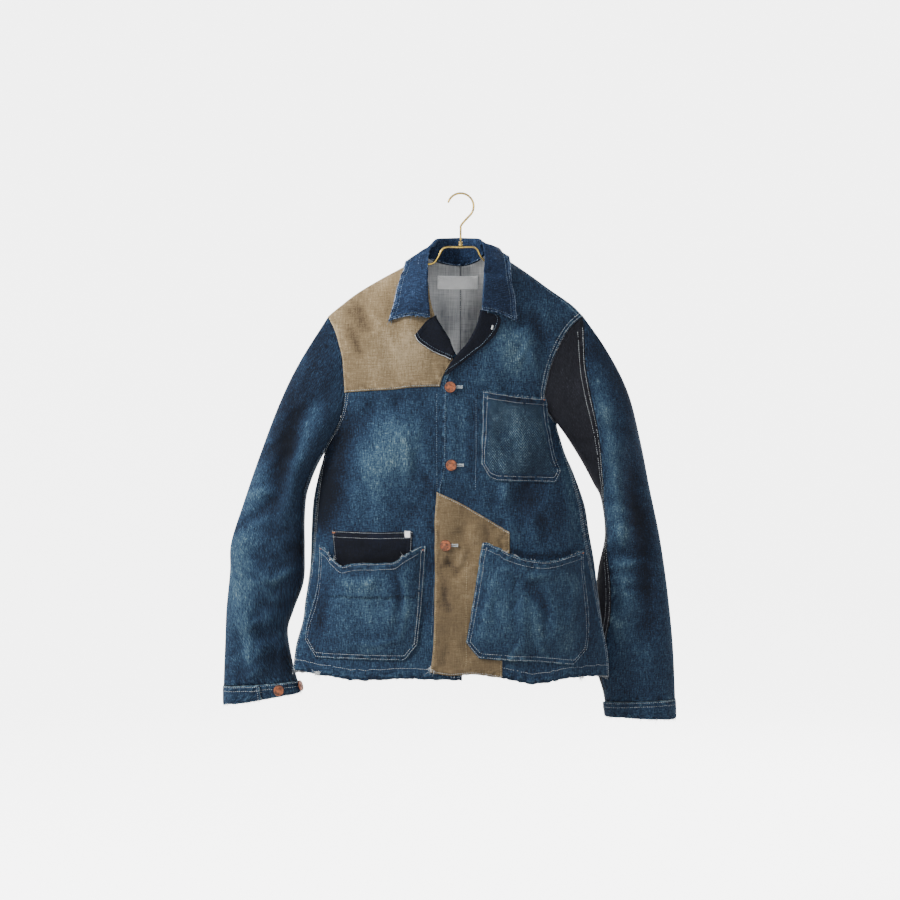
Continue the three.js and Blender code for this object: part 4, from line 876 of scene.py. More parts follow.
def sewnLift(name):
    cut, under = sewnOn[name], underLift[name]

    def lift(x, drop):
        stand = 0
        if "puff" in cut:
            across = np.minimum(1, np.abs((x - cut["centre"][0]) / cut["half"][0]))
            down = np.clip((drop - cut["centre"][1]) / cut["half"][1], 0, 1)
            stand = cut["puff"] * (1 - across ** 3) * (1 - down ** 3)
        return under(x, drop) + stand + patchRise

    return lift


pocketFolds = {     # creases of their own on the pockets
    "pocket_lower_right": [([[-196, 606], [-170, 620], [-120, 616]], 8, 2.2),
                           ([[-112, 604], [-96, 624], [-92, 664]], 7, -2.2),
                           ([[-150, 640], [-130, 600], [-108, 592]], 6, 1.6),
                           ([[-206, 620], [-214, 670], [-222, 700]], 8, -1.8),
                           ([[-90, 600], [-84, 660], [-96, 706], [-136, 716], [-190, 712]], 5, 1.5),
                           ([[-180, 650], [-160, 680], [-150, 710]], 9, -1.4)],
    "pocket_lower_left": [([[60, 590], [100, 610], [150, 604]], 8, 2.4), ([[70, 580], [100, 620], [150, 690]], 8, -2.4),
                          ([[86, 600], [80, 660], [90, 716]], 7, -1.6), ([[56, 600], [40, 660], [36, 710]], 8, 1.8),
                          ([[180, 600], [176, 650], [166, 706]], 8, 1.8),
                          ([[120, 620], [132, 670], [126, 720]], 9, -1.4)],
    "pocket_chest": [([[50, 350], [60, 390], [56, 430]], 8, -1.0), ([[120, 350], [126, 400], [138, 436]], 8, 1.0),
                     ([[48, 330], [90, 338], [128, 340]], 6, -1.0)],
    "patch_front_edge": [([[-26, 576], [-16, 590], [0, 606]], 5, -1.2)],
}
pieceFadesAndShade = {
    # painted shade in the patch's first two crease troughs (this line and the next)
    "patch_shoulder": [([[-169, 171], [-158, 200], [-143, 227]], 12, -0.16),
                       ([[-182, 205], [-166, 236], [-160, 268]], 9, -0.10),
                       ([[-140, 250], [-90, 262], [-50, 280]], 26, 0.08),
                       # painted shade in a crease trough, then a painted shadow under the lapel's end (next line)
                       ([[-120, 150], [-112, 190], [-98, 222]], 9, -0.08),
                       ([[-30, 270], [-24, 285], [-30, 300]], 10, -0.18)],
    "patch_front_edge": [([[-28, 500], [-24, 620], [-30, 750]], 12, -0.10),
                         # painted shade in two crease troughs (this line and the first mark on the next)
                         ([[-27, 583], [-14, 590], [2, 612]], 7, -0.16),
                         ([[-28, 618], [-24, 640], [-16, 668]], 6, -0.14), ([[30, 540], [10, 600], [6, 700]], 20, 0.08),
                         ([[-36, 740], [10, 750], [60, 756]], 10, -0.10)],
    "pocket_chest": [([[60, 345], [80, 380], [100, 430]], 34, 0.10), ([[130, 350], [140, 400], [150, 436]], 9, 0.12),
                     # painted shade in the crease under the mouth's hem
                     ([[40, 322], [90, 330], [130, 334]], 6, -0.14)],
    "pocket_lower_right": [([[-160, 610], [-150, 660], [-140, 700]], 50, 0.18),
                           ([[-86, 590], [-82, 660], [-94, 712]], 7, 0.16),
                           # painted shade in a crease trough
                           ([[-210, 600], [-220, 650], [-226, 700]], 12, -0.10),
                           ([[-100, 716], [-150, 724], [-214, 720]], 6, 0.14),
                           # painted shade in a crease trough, then a painted shadow under the mouth's hem (next line)
                           ([[-110, 600], [-98, 630], [-100, 670]], 8, -0.10),
                           ([[-190, 604], [-150, 600], [-112, 604]], 5, -0.08)],
    "pocket_lower_left": [([[110, 600], [110, 650], [104, 720]], 60, 0.12),
                          ([[150, 600], [178, 620], [190, 640]], 12, 0.16),
                          ([[184, 690], [168, 716], [150, 730]], 13, 0.22),
                          ([[60, 620], [56, 670], [66, 716]], 30, 0.10),
                          # painted shade in a crease trough
                          ([[86, 590], [112, 630], [150, 690]], 9, -0.12),
                          ([[40, 600], [30, 650], [22, 700]], 6, -0.10),
                          ([[110, 640], [120, 690], [110, 726]], 18, 0.05)],
    "pocket_tool": [([[-190, 545], [-140, 547], [-86, 546]], 6, 0.10),
                    # painted shadow under the lower pocket's mouth
                    ([[-200, 578], [-140, 586], [-80, 570]], 6, -0.25)],
}
pieceLooks = {     # finish of the outer side, the reverse and the cut edge
    "patch_shoulder": [canvasTan, canvasReverse, canvasTan],
    "patch_front_edge": [canvasBrown, canvasReverse, canvasBrown],
    "pocket_chest": [denimHerringbone, denimReverse, frayEdge],
    # the lower pockets' dark wrong side is painted shade inside their open mouths
    "pocket_lower_right": [denim, darkReverseAndPocketShade, frayEdge],
    "pocket_lower_left": [denim, darkReverseAndPocketShade, frayEdge],
    "pocket_tool": [denimFacing, darkReverseAndPocketShade, frayEdge],
}


def addSewnOnPieces():
    grids = {}
    for name, cut in sewnOn.items():
        edges = {side: cut[side] for side in ("top", "bottom", "first", "last")}
        own, lift = pocketFolds.get(name, []), sewnLift(name)
        grid = bodySheet(edges, frontFace, lambda x, drop: lift(x, drop) + foldHeight(own, x, drop), cut["cell"])
        sides, ends, _, down = gridReach(grid["points"])
        sewnSides = np.minimum(sides, ends) if "puff" not in cut else sides
        normals = gridNormals(grid["points"], frontFace)
        if "puff" in cut:       # the mouth's turned hem stands prouder than the rest
            grid["points"] = grid["points"] + normals * (1.1 * (1 - smoothStep(9.5, 13, down)))[..., None]
        grid["points"] = grid["points"] - normals * (0.45 * np.exp(-(sewnSides / 3.0) ** 2))[..., None]
        # fades and painted shade, as listed per piece
        fade = panelFadeAndShade(grid, pieceFadesAndShade.get(name, []), own + frontFolds)
        made = clothPiece(name + "_cloth", grid, 1.1, pieceLooks[name], fade, grain=(grid["x"], grid["drop"]))
        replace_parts(made, name)
        grids[name] = grid
    return grids


# The turned-back facings: each rolls from inside the front's edge round to its outer side
lapels = {
    "lapel_right": {"roll": [[-41, 198], [-38, 207], [-21, 236], [-11, 261]],
                    "outer": [[-73, 228], [-66, 240], [-43, 255], [-15, 267]],
                    "top": [[-73, 228], [-55, 207], [-41, 198]], "under": level(patchRise + 0.1), "rollIsLast": True},
    "lapel_left": {"roll": [[33, 189], [32, 198], [24, 222], [12, 243], [-7, 265], [-25, 292]],
                   "outer": [[60, 197], [63, 207], [55, 226], [38, 244], [14, 263], [-7, 279], [-25, 294]],
                   "top": [[33, 189], [60, 197]], "under": lap, "rollIsLast": False},
}
lapelRoll = {"height": 4, "reach": 24, "turns": 7, "cloth": 1.1}


def addLapels():
    grids = {}
    for name, cut in lapels.items():
        last = cut["rollIsLast"]
        roll, outer, top = softLine(cut["roll"]), softLine(cut["outer"]), softLine(cut["top"])
        bottom = straightLine([cut["outer"][-1], cut["roll"][-1]])
        edges = {"top": top, "bottom": bottom if last else bottom[::-1], "first": outer if last else roll,
                 "last": roll if last else outer}

        def lift(x, drop):
            away, _ = footOnPath(cut["roll"], x, drop)
            return cut["under"](x, drop) + 1.6 + lapelRoll["height"] * (1 - smoothStep(0, lapelRoll["reach"], away))

        grid = bodySheet(edges, frontFace, lift, 2.0)
        x, drop = (grid["x"][:, -1], grid["drop"][:, -1]) if last else (grid["x"][:, 0], grid["drop"][:, 0])
        base = bodyPoint(x, drop, frontFace)
        normal = gridNormals(bodyPoint(grid["x"], grid["drop"], frontFace), frontFace)[:, -1 if last else 0]
        outerEdge = grid["points"][:, -1 if last else 0]
        inner = base - normal * body["cloth"]
        away = unit(outerEdge - grid["points"][:, -2 if last else 1])
        middle, half = (outerEdge + inner) / 2, np.linalg.norm(outerEdge - inner, axis=1, keepdims=True) / 2
        turn = np.linspace(0, np.pi, lapelRoll["turns"] + 1)[1:]
        bend = [middle + normal * half * math.cos(a) + away * half * 0.85 * math.sin(a) for a in turn]
        bend = np.stack(bend if last else bend[::-1], 1)
        grid["points"] = np.concatenate([grid["points"], bend] if last else [bend, grid["points"]], 1)
        made = clothPiece(name + "_cloth", grid, lapelRoll["cloth"], [denimFacing, darkReverseAndPocketShade, frayEdge])
        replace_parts(made, name)
        grids[name] = grid
    return grids


# The neck label and the folded selvedge tag, both plain tape
tapes = {
    "label_neck": {"box": [-38, 29, 125, 147], "face": backFace, "lift": -2.2, "cell": 1.5, "thick": 0.5},
    "tag_selvedge": {"box": [-88, -79, 536.5, 547], "face": frontFace, "lift": 2.6, "cell": 0.8, "thick": 1.0},
}


def addTapes():
    for name, tape in tapes.items():
        x0, x1, d0, d1 = tape["box"]
        edges = {"top": straightLine([[x0, d0], [x1, d0]]), "bottom": straightLine([[x0, d1], [x1, d1]]),
                 "first": straightLine([[x0, d0], [x0, d1]]), "last": straightLine([[x1, d0], [x1, d1]])}
        grid = bodySheet(edges, tape["face"], level(tape["lift"]), tape["cell"])
        if tape["face"] == backFace:
            grid["sign"] = -1
        made = clothPiece(name + "_tape", grid, tape["thick"], [tapeWhite, tapeWhite, tapeWhite])
        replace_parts(made, name)
        sides = (("first", 1.4), ("last", 1.4)) if name == "label_neck" else (("top", 1.2),)
        for side, inset in sides:
            sewInside(name, grid, side, inset, thread="white", pitch=1.6, length=1.2, radius=0.18)


# Sleeves: silhouettes from the shoulder and the armpit down to the cuff's edge, carried round between the two
sleeves = {
    "left": {
        "outer": [[196, 195], [234, 249], [268, 315], [289, 393], [306, 473], [321, 540], [330, 593], [338, 654],
                  [345, 729], [348, 804], [349, 844]],
        "inner": [[154, 367], [169, 387], [193, 425], [213, 462], [226, 489], [233, 547], [223, 601], [217, 668],
                  [213, 737], [231, 800], [237, 839]],
        "armFront": "armholeFrontLeft", "armBack": "armholeBackLeft", "side": 1,
        "setBack": profile([[0, 0], [0.25, 12], [0.45, 30], [0.6, 42], [0.85, 44], [1, 40]]),
        "frontSeam": profile([[0, 0.25], [0.05, 0.73], [0.08, 1.03], [0.12, 1.33], [0.16, 1.61], [0.2, 1.94], [0.25, 2.4],
                              [0.31, 2.85], [0.4, 2.85], [0.5, 2.4], [0.6, 2.2], [0.7, 2.2], [0.8, 2.4], [0.9, 2.85],
                              [1, 3]]), "columns": (56, 56),
        "folds": [([[215, 260], [234, 360], [251, 483], [264, 575]], 22, 6),
                  ([[258, 400], [277, 470], [290, 535], [302, 640], [296, 760]], 17, -8),
                  ([[228, 483], [262, 500], [312, 512]], 10, -3), ([[236, 560], [270, 574], [316, 566]], 12, -4),
                  ([[240, 690], [276, 660], [320, 668]], 14, 4),
                  ([[232, 498], [262, 502], [276, 512]], 4, 1.6), ([[236, 520], [266, 528], [300, 526]], 5, -1.8),
                  ([[240, 540], [272, 548], [300, 556]], 4, 1.6), ([[236, 590], [262, 596], [300, 588]], 6, 2.0),
                  ([[230, 620], [262, 634], [310, 628]], 7, -2.2), ([[226, 660], [250, 690], [266, 740]], 9, 2.4),
                  ([[222, 700], [250, 724], [300, 720]], 8, -2.0), ([[200, 250], [206, 300], [190, 350]], 9, -2.0),
                  ([[172, 290], [186, 330], [196, 380]], 9, 1.8), ([[180, 390], [206, 400], [240, 392]], 7, -1.8)],
        "backFolds": [([[200, 330], [250, 470], [262, 620]], 24, -6), ([[232, 500], [270, 520], [318, 512]], 13, -4),
                      ([[232, 600], [280, 620], [326, 606]], 14, 4), ([[240, 540], [280, 560], [316, 550]], 7, 2.2),
                      ([[230, 680], [280, 700], [330, 690]], 9, -2.4)],
        "fadesAndShade": [([[212, 262], [232, 360], [250, 480], [262, 570]], 11, 0.20),
                  # painted shade over the upper outer side, then in the long crease trough (this line and the next)
                  ([[190, 190], [236, 250], [270, 330], [290, 420]], 22, -0.16),
                  ([[262, 417], [278, 480], [290, 540], [303, 640], [300, 740]], 13, -0.20),
                  ([[240, 470], [262, 560], [268, 640], [262, 760]], 22, 0.16),
                  ([[330, 560], [338, 660], [344, 760]], 8, 0.10),
                  ([[238, 500], [262, 504], [276, 512]], 4, 0.20), ([[240, 528], [268, 536], [296, 532]], 4, 0.18),
                  ([[238, 584], [270, 590], [306, 584]], 5, 0.18), ([[244, 610], [270, 620], [300, 612]], 4, 0.14),
                  ([[242, 680], [262, 690], [290, 686]], 5, 0.12), ([[200, 200], [236, 300], [262, 400]], 10, -0.06)],
    },
    "right": {
        "outer": [[-212, 196], [-257, 267], [-289, 332], [-323, 420], [-348, 492], [-369, 558], [-371, 604],
                  [-377, 665], [-379, 713], [-381, 761], [-382, 793], [-382, 819]],
        "inner": [[-217, 404], [-228, 428], [-239, 457], [-247, 484], [-250, 524], [-250, 569], [-252, 620],
                  [-268, 665], [-278, 700], [-271, 748], [-263, 779], [-257, 799]],
        "armFront": "armholeFrontRight", "armBack": "armholeBackRight", "side": -1,
        "setBack": profile([[0, 0], [0.25, 6], [0.5, 14], [0.75, 20], [1, 24]]),
        "frontSeam": profile([[0, 2.25], [0.15, 2.5], [0.3, 2.75], [1, 2.9]]), "columns": (66, 40),
        "folds": [([[-239, 289], [-262, 350], [-279, 420], [-300, 520]], 16, -7),
                  ([[-226, 330], [-246, 380], [-262, 440], [-276, 520]], 13, 5),
                  ([[-352, 560], [-310, 590], [-258, 604]], 14, -4), ([[-330, 690], [-302, 712], [-282, 786]], 14, -6),
                  ([[-360, 640], [-330, 720], [-336, 786]], 16, 5),
                  ([[-254, 590], [-290, 616], [-340, 620]], 8, 2.4), ([[-256, 640], [-286, 660], [-330, 656]], 8, -2.4),
                  ([[-262, 680], [-284, 700], [-310, 740]], 7, 2.4), ([[-276, 700], [-290, 730], [-292, 780]], 6, 2.0),
                  ([[-250, 520], [-282, 540], [-330, 536]], 7, -1.8),
                  ([[-350, 600], [-320, 616], [-286, 640]], 6, -1.6),
                  ([[-300, 350], [-312, 410], [-330, 470]], 10, 1.8),
                  ([[-206, 260], [-214, 320], [-208, 380]], 9, -2.0),
                  ([[-364, 690], [-350, 730], [-354, 780]], 8, -1.8)],
        "backFolds": [([[-240, 330], [-290, 450], [-306, 600]], 24, -6),
                      ([[-258, 520], [-306, 534], [-356, 520]], 14, -4),
                      ([[-266, 640], [-316, 656], [-368, 640]], 14, 4),
                      ([[-260, 580], [-310, 600], [-360, 590]], 8, 2.2),
                      ([[-272, 700], [-320, 720], [-370, 706]], 9, -2.4)],
        "fadesAndShade": [([[-318, 440], [-344, 540], [-356, 640], [-352, 780]], 24, 0.20),
                  ([[-200, 190], [-244, 270], [-276, 350], [-300, 450]], 32, -0.22),
                  # painted shade along the inner side by the body, then in a crease trough (this line and the next)
                  ([[-226, 410], [-248, 500], [-256, 600], [-270, 700]], 14, -0.10),
                  ([[-239, 289], [-262, 350], [-279, 420], [-300, 520]], 12, -0.14),
                  ([[-222, 320], [-244, 380], [-262, 450]], 8, 0.12),
                  ([[-346, 540], [-346, 600], [-352, 660]], 18, 0.16),
                  ([[-330, 600], [-300, 640], [-300, 680]], 14, 0.08),
                  ([[-350, 690], [-340, 740], [-340, 780]], 16, 0.10),
                  ([[-290, 700], [-284, 740], [-280, 780]], 10, -0.14),
                  # painted shade along the inner side by the body
                  ([[-250, 470], [-254, 560], [-262, 620]], 8, -0.10),
                  ([[-254, 592], [-292, 618], [-330, 620]], 5, 0.14),
                  ([[-364, 540], [-366, 580], [-370, 630]], 7, 0.10)],
    },
}
sleeveForm = {"halfDepth": profile([[0, 22], [0.1, 32], [0.35, 36], [0.7, 33], [1, 29]]), "backSeam": -2.0,
              "headBlend": 0.26, "headGap": 0.2, "cuffStart": 0.952, "cuffLap": 0.75, "cuffTop": 1.2, "cell": 3.4,
              "cuffEnd": {"right": 1.6, "left": 3.05}, "stitchHalfDepth": 32}
for sleeve in sleeves.values():
    sleeve["outerLine"], sleeve["innerLine"] = byLength(softLine(sleeve["outer"])), byLength(softLine(sleeve["inner"]))
    sleeve["armLines"] = [byLength(softLine(cuts[sleeve[end]])) for end in ("armFront", "armBack")]
    lower = ((-380, -250) if sleeve["side"] < 0 else (200, 345), (240, 780))
    for key in ("folds", "backFolds"):
        sleeve[key] += looseCreases(44, lower, 40 * sleeve["side"], 1.7)
        sleeve[key] += looseCreases(16, lower, 55 * sleeve["side"], 4.0, (8, 14), (24, 60))


def sleevePlain(sleeve, t, angle):
    a, b = sleeve["outerLine"](t), sleeve["innerLine"](t)
    x, drop = np.moveaxis((a + b) / 2 + (a - b) / 2 * np.cos(angle)[..., None], -1, 0)
    front = np.sin(angle)
    folds = np.where(front > 0, foldHeight(sleeve["folds"], x, drop), foldHeight(sleeve["backFolds"], x, drop))
    pleats = 0.8 * np.sin(angle * 17 + 2 * np.sin(angle * 3)) * smoothStep(0.915, 0.95, t)
    depth = sleeveForm["halfDepth"](t) + folds * smoothStep(0, 0.12, t) + pleats
    return np.stack([x, sleeve["setBack"](t) - np.sign(front) * np.abs(front) ** 0.85 * depth, -drop], -1)


# the armhole's loop: down its front edge for the first half turn and back up its back edge
def armholeLoop(sleeve, angle):
    turn = np.mod(angle, tau)
    share, front = (1 - np.cos(turn)) / 2, turn <= np.pi
    on = [line(share) for line in sleeve["armLines"]]
    x, drop = np.moveaxis(np.where(front[..., None], on[0], on[1]), -1, 0)
    y = np.where(front, -bodyDepth(x, drop, frontFace), bodyDepth(x, drop, backFace))
    return np.stack([x, y, -drop], -1)


# the sleeve's surface: the plain sleeve, drawn to the armhole's outline towards the head
def sleevePoints(sleeve, t, angle):
    points = sleevePlain(sleeve, t, angle)
    share = 1 - smoothStep(0, sleeveForm["headBlend"], t)
    points = points + (armholeLoop(sleeve, angle) - sleevePlain(sleeve, 0 * t, angle)) * share[..., None]
    points[..., 0] += sleeve["side"] * sleeveForm["headGap"] * np.exp(-(t / 0.01) ** 2)
    return points


def sleeveNormals(sleeve, t, angle):
    down = sleevePoints(sleeve, np.minimum(t + 0.003, 1), angle) - sleevePoints(sleeve, np.maximum(t - 0.003, 0), angle)
    around = sleevePoints(sleeve, t, angle + 0.03) - sleevePoints(sleeve, t, angle - 0.03)
    return sleeve["side"] * unit(np.cross(around, down))


def sleeveGrid(sleeve, t, angle, lift=0.0):
    points = sleevePoints(sleeve, t, angle)
    sign = sleeve["side"]
    normals = gridNormals(points, sign)
    lifted = points + normals * np.asarray(lift)[..., None]
    return {"x": points[..., 0], "drop": -points[..., 2], "points": lifted, "sign": sign}


def sewOnSleeve(piece, sleeve, t, angle, lift, **how):
    points, normals = sleevePoints(sleeve, t, angle), sleeveNormals(sleeve, t, angle)
    sewAlong(piece, points + normals * lift, normals, **how)


def addSleeves():
    for word, sleeve in sleeves.items():
        rows = 190
        t = (np.linspace(0, 1, rows + 1) ** 1.1 * sleeveForm["cuffStart"])[:, None]
        back = 0 * t + sleeveForm["backSeam"]
        seam = sleeve["frontSeam"](t)
        upperColumns, underColumns = sleeve["columns"]
        for part, start, end, columns in (("upper", back, seam, upperColumns),
                                          ("under", seam, back + tau, underColumns)):
            name = f"sleeve_{part}_{word}"
            angle = start + (end - start) * np.linspace(0, 1, columns + 1)
            grid = sleeveGrid(sleeve, t + 0 * angle, angle)
            finish = denimCharcoal if name == "sleeve_under_left" else denimSleeve
            _, _, u, v = gridReach(grid["points"])
            # fades and painted shade, as listed per sleeve
            fade = panelFadeAndShade(grid, sleeve["fadesAndShade"], sleeve["folds"])
            gain = 0.4 if name == "sleeve_under_left" else 1.0
            made = clothPiece(name + "_cloth", grid, body["cloth"], [finish, denimReverse, frayEdge], fade * gain,
                              wornEdges=0.35, grain=(u - u[:, -1:] / 2, v))
            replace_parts(made, name)
        t = np.linspace(0.02, sleeveForm["cuffStart"] - 0.004, 320)
        seamAngle = sleeve["frontSeam"](t)
        pale = dict(thread="pale" if word == "left" else "blue", skip=0.03)
        for shift in (0.05, 0.19):
            beside = seamAngle + shift * (sleeveForm["stitchHalfDepth"] / sleeveForm["halfDepth"](t))
            sewOnSleeve(f"sleeve_under_{word}", sleeve, t, beside, 0.05, **pale)
        addCuff(word, sleeve)


def cuffLift(word, angle):
    end = sleeveForm["cuffEnd"][word] + tau - sleeveForm["cuffLap"]
    return 3.4 * smoothStep(end - 0.7, end, angle)


def addCuff(word, sleeve):
    name, end = f"cuff_{word}", sleeveForm["cuffEnd"][word]
    t = np.linspace(sleeveForm["cuffStart"] + 0.0006, 0.9995, 17)[:, None]
    angle = np.linspace(end - sleeveForm["cuffLap"], end + tau, 150)[None]
    ragged = np.convolve(dice.normal(0, 1, 158), np.ones(9) / 3, "valid") * 0.0011
    t = t + (t > 0.99) * ragged[None]
    edges = np.minimum(t - t[:1], t[-1:] - t) * 640
    lift = cuffLift(word, angle) + sleeveForm["cuffTop"] - 0.8 * np.exp(-(edges / 2.0) ** 2)
    grid = sleeveGrid(sleeve, np.minimum(t, 1) + 0 * angle, angle + 0 * t, lift)
    _, _, u, v = gridReach(grid["points"])
    made = clothPiece(name + "_cloth", grid, 2.2, [denim, denimReverse, frayEdge], wornEdges=1.2, grain=(u, v))
    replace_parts(made, name)
    for side, inset in (("top", 2.2), ("top", 8.4), ("first", 4), ("last", 4)):
        sewInside(name, grid, side, inset, thread="pale")
    frayEdgeOf(name, grid, "bottom", 0.75, 3.0)
    frayEdgeOf(name, grid, "last", 0.35, 1.6)


def frayEdgeOf(piece, grid, side, density, length, thread="fray", part=None):
    points, normals = grid["points"], gridNormals(grid["points"], grid["sign"])
    pick = {"top": (0, 1), "bottom": (-1, -2)}.get(side)
    if pick:
        line, inner, normal = points[pick[0]], points[pick[1]], normals[pick[0]]
    else:
        a, b = (0, 1) if side == "first" else (-1, -2)
        line, inner, normal = points[:, a], points[:, b], normals[:, a]
    if part:
        low, high = int(part[0] * len(line)), max(int(part[1] * len(line)), int(part[0] * len(line)) + 2)
        line, inner, normal = line[low:high], inner[low:high], normal[low:high]
    frayAlong(piece, line - normal * 0.5, line - inner, normal, density, length, thread=thread)


# The collar: neck seam, fold and outer edge at stations from the right front end round the back to the left one
def onFront(x, drop, above):
    return [x, -float(bodyDepth(np.float64(x), np.float64(drop), frontFace)) - above, -drop]


def onBack(x, drop, above):
    return [x, float(bodyDepth(np.float64(x), np.float64(drop), backFace)) + above, -drop]


def onShoulder(x, y, above):
    low = float(shoulderRidge(x))
    drops = np.linspace(low, low + body["topReach"], 900)
    depths = bodyDepth(0 * drops + x, drops, frontFace if y < 0 else backFace)
    return [x, y, above - drops[np.argmax(depths >= abs(y))]]


collar = {
    "stations": [
        (onFront(-62, 199, 3.4), onFront(-49, 199, 7.5), onFront(-114, 206, 3.4)),
        (onFront(-66, 168, 3.4), onFront(-52, 167, 8), onFront(-105, 175, 3.8)),
        (onFront(-67, 140, 3.4), onFront(-53, 137, 8.5), onFront(-97, 141, 4.5)),
        (onShoulder(-66, -18, 4.5), [-49, -21, -107], onShoulder(-91, -17, 5.5)),
        (onShoulder(-62, 0, 6), [-46, -2, -90], onShoulder(-87, 0, 7)),
        (onShoulder(-56, 18, 4), [-41, 14, -75], onShoulder(-79, 24, 6)),
        (onBack(-44, 103, -0.8), [-36, 27, -69], onBack(-64, 122, 4)),
        (onBack(-22, 107.3, -0.8), [-19, 38, -67], onBack(-36, 131, 4)),
        (onBack(-3, 109.4, -0.8), [-3, 42, -66], onBack(-3, 133, 4)),
        (onBack(15, 107.3, -0.8), [13, 38, -67], onBack(31, 130, 4)),
        (onBack(33, 99.6, -0.8), [28, 27, -69], onBack(56, 120, 4)),
        (onShoulder(46, 18, 4), [31, 14, -74], onShoulder(69, 24, 6)),
        (onShoulder(51, 0, 6), [33, -2, -88], onShoulder(76, 0, 7)),
        (onShoulder(54, -18, 4.5), [35, -21, -106], onShoulder(79, -17, 5.5)),
        (onFront(53, 136, 1.8), onFront(37, 137, 8.5), onFront(80, 141, 3.4)),
        (onFront(49, 164, 1.8), onFront(35, 165, 8), onFront(86, 175, 3)),
        (onFront(46, 186, 2.6), onFront(34, 187, 7.5), onFront(88, 207, 3)),
    ],
    "foldHalf": 2.4, "foldDrop": 1.6, "leafBulge": 3, "overCloth": 2.2, "overPatch": 3.8, "overRidge": 3,
    "backShare": 0.14, "endRise": 7, "endShare": 1 / 32, "cloth": 1.8, "steps": 208,
}


# height off the body along its own slope, for many points at once
def heightOffBody(points):
    def excess(p):
        x, y, drop = p[..., 0], p[..., 1], -p[..., 2]
        depth = np.where(y < 0, bodyDepth(x, drop, frontFace), bodyDepth(x, drop, backFace))
        ridge = shoulderRidge(x)
        return np.abs(y) - np.where(drop < ridge, drop - ridge, depth)

    step = 0.5
    slope = np.stack([excess(points + shift) - excess(points - shift) for shift in np.eye(3) * step], -1) / (2 * step)
    long = np.linalg.norm(slope, axis=-1)
    return excess(points) / long, slope / long[..., None]


def addCollar():
    s = np.linspace(0, 1, collar["steps"] + 1)
    # places between stations are shared out evenly by their number, as on a soft line with one share a station
    stations = np.array(collar["stations"], float)
    seam, fold, edge = [softLine(stations[:, k], steps=13) for k in range(3)]
    up = unit(fold - (seam + edge) / 2)
    out = edge - seam
    out = unit(out - up * (out * up).sum(-1, keepdims=True))
    ends = (np.clip(1 - np.minimum(s, 1 - s) / collar["endShare"], 0, 1) * collar["endRise"])[:, None]
    foldBack = fold - out * collar["foldHalf"] - up * collar["foldDrop"]
    foldFront = fold + out * collar["foldHalf"] - up * collar["foldDrop"]
    section = [seam, (seam + foldBack) / 2, foldBack, fold, foldFront]
    for share in (0.25, 0.5, 0.75):
        swell = math.sin(math.pi * share)
        leaf = foldFront * (1 - share) + edge * share
        section.append(leaf + out * collar["leafBulge"] * swell + ends * swell * [0, 0, 1])
    section = np.stack(section + [edge], 0)
    behind = np.abs(s - 0.5) < collar["backShare"]
    least = np.where((seam[:, 0] < 0) & ~behind, collar["overPatch"], collar["overCloth"])
    free = behind[None] & (np.arange(9) < 5)[:, None]
    for _ in range(6):
        height, direction = heightOffBody(section)
        wanted = least[None] + collar["overRidge"] * np.exp(-(section[..., 1] / 8) ** 2)
        short = np.where(free, 0, np.maximum(0, wanted - height))
        section = section + direction * short[..., None]
    points = softLine(section, steps=6).transpose(1, 0, 2)
    waves = 0.5 * np.sin(s * 90)[:, None] * smoothStep(30, 48, np.arange(points.shape[1]))[None]
    grid = {"points": points, "sign": 1}
    normals = np.cross(np.gradient(points, axis=0), np.gradient(points, axis=1))
    grid["points"] = points + unit(normals) * waves[..., None]
    grid["sign"] = -1
    _, _, u, v = gridReach(grid["points"])
    leaf = np.arange(points.shape[1])[None] / (points.shape[1] - 1) + 0 * s[:, None]
    # lighter along the fold and towards the outer edge where worn; darker on the stand inside the neck as painted shade
    fade = 0.16 * np.exp(-((leaf - 0.40) / 0.05) ** 2) + 0.10 * smoothStep(0.85, 1, leaf)
    fade = fade - 0.10 * (1 - smoothStep(0.1, 0.3, leaf))
    made = clothPiece("collar_cloth", grid, collar["cloth"], [denimCollar, denimCollar, frayEdge], fade, offset=0.0,
                      wornEdges=1.2, grain=(v, u))
    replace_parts(made, "collar")
    shifted = dict(grid, points=grid["points"] + gridNormals(grid["points"], -1) * (collar["cloth"] / 2))
    for side, inset in (("last", 4.2), ("last", 9.6)):
        sewInside("collar", shifted, side, inset, thread="blue")
    for side in ("top", "bottom"):
        sewInside("collar", shifted, side, 4.2, start=0, thread="blue")
    inside = dict(grid, points=grid["points"] - gridNormals(grid["points"], -1) * (collar["cloth"] / 2), sign=1)
    sewInside("collar", inside, "first", 3.0, start=150, end=150, thread="pale")
    frayEdgeOf("collar", shifted, "last", 0.55, 1.5, thread="frayBlue")
    frayEdgeOf("collar", shifted, "top", 0.9, 2.0, thread="frayBlue", part=(0.5, 1))
    frayEdgeOf("collar", shifted, "bottom", 0.6, 1.6, thread="frayBlue", part=(0.5, 1))
    return grid


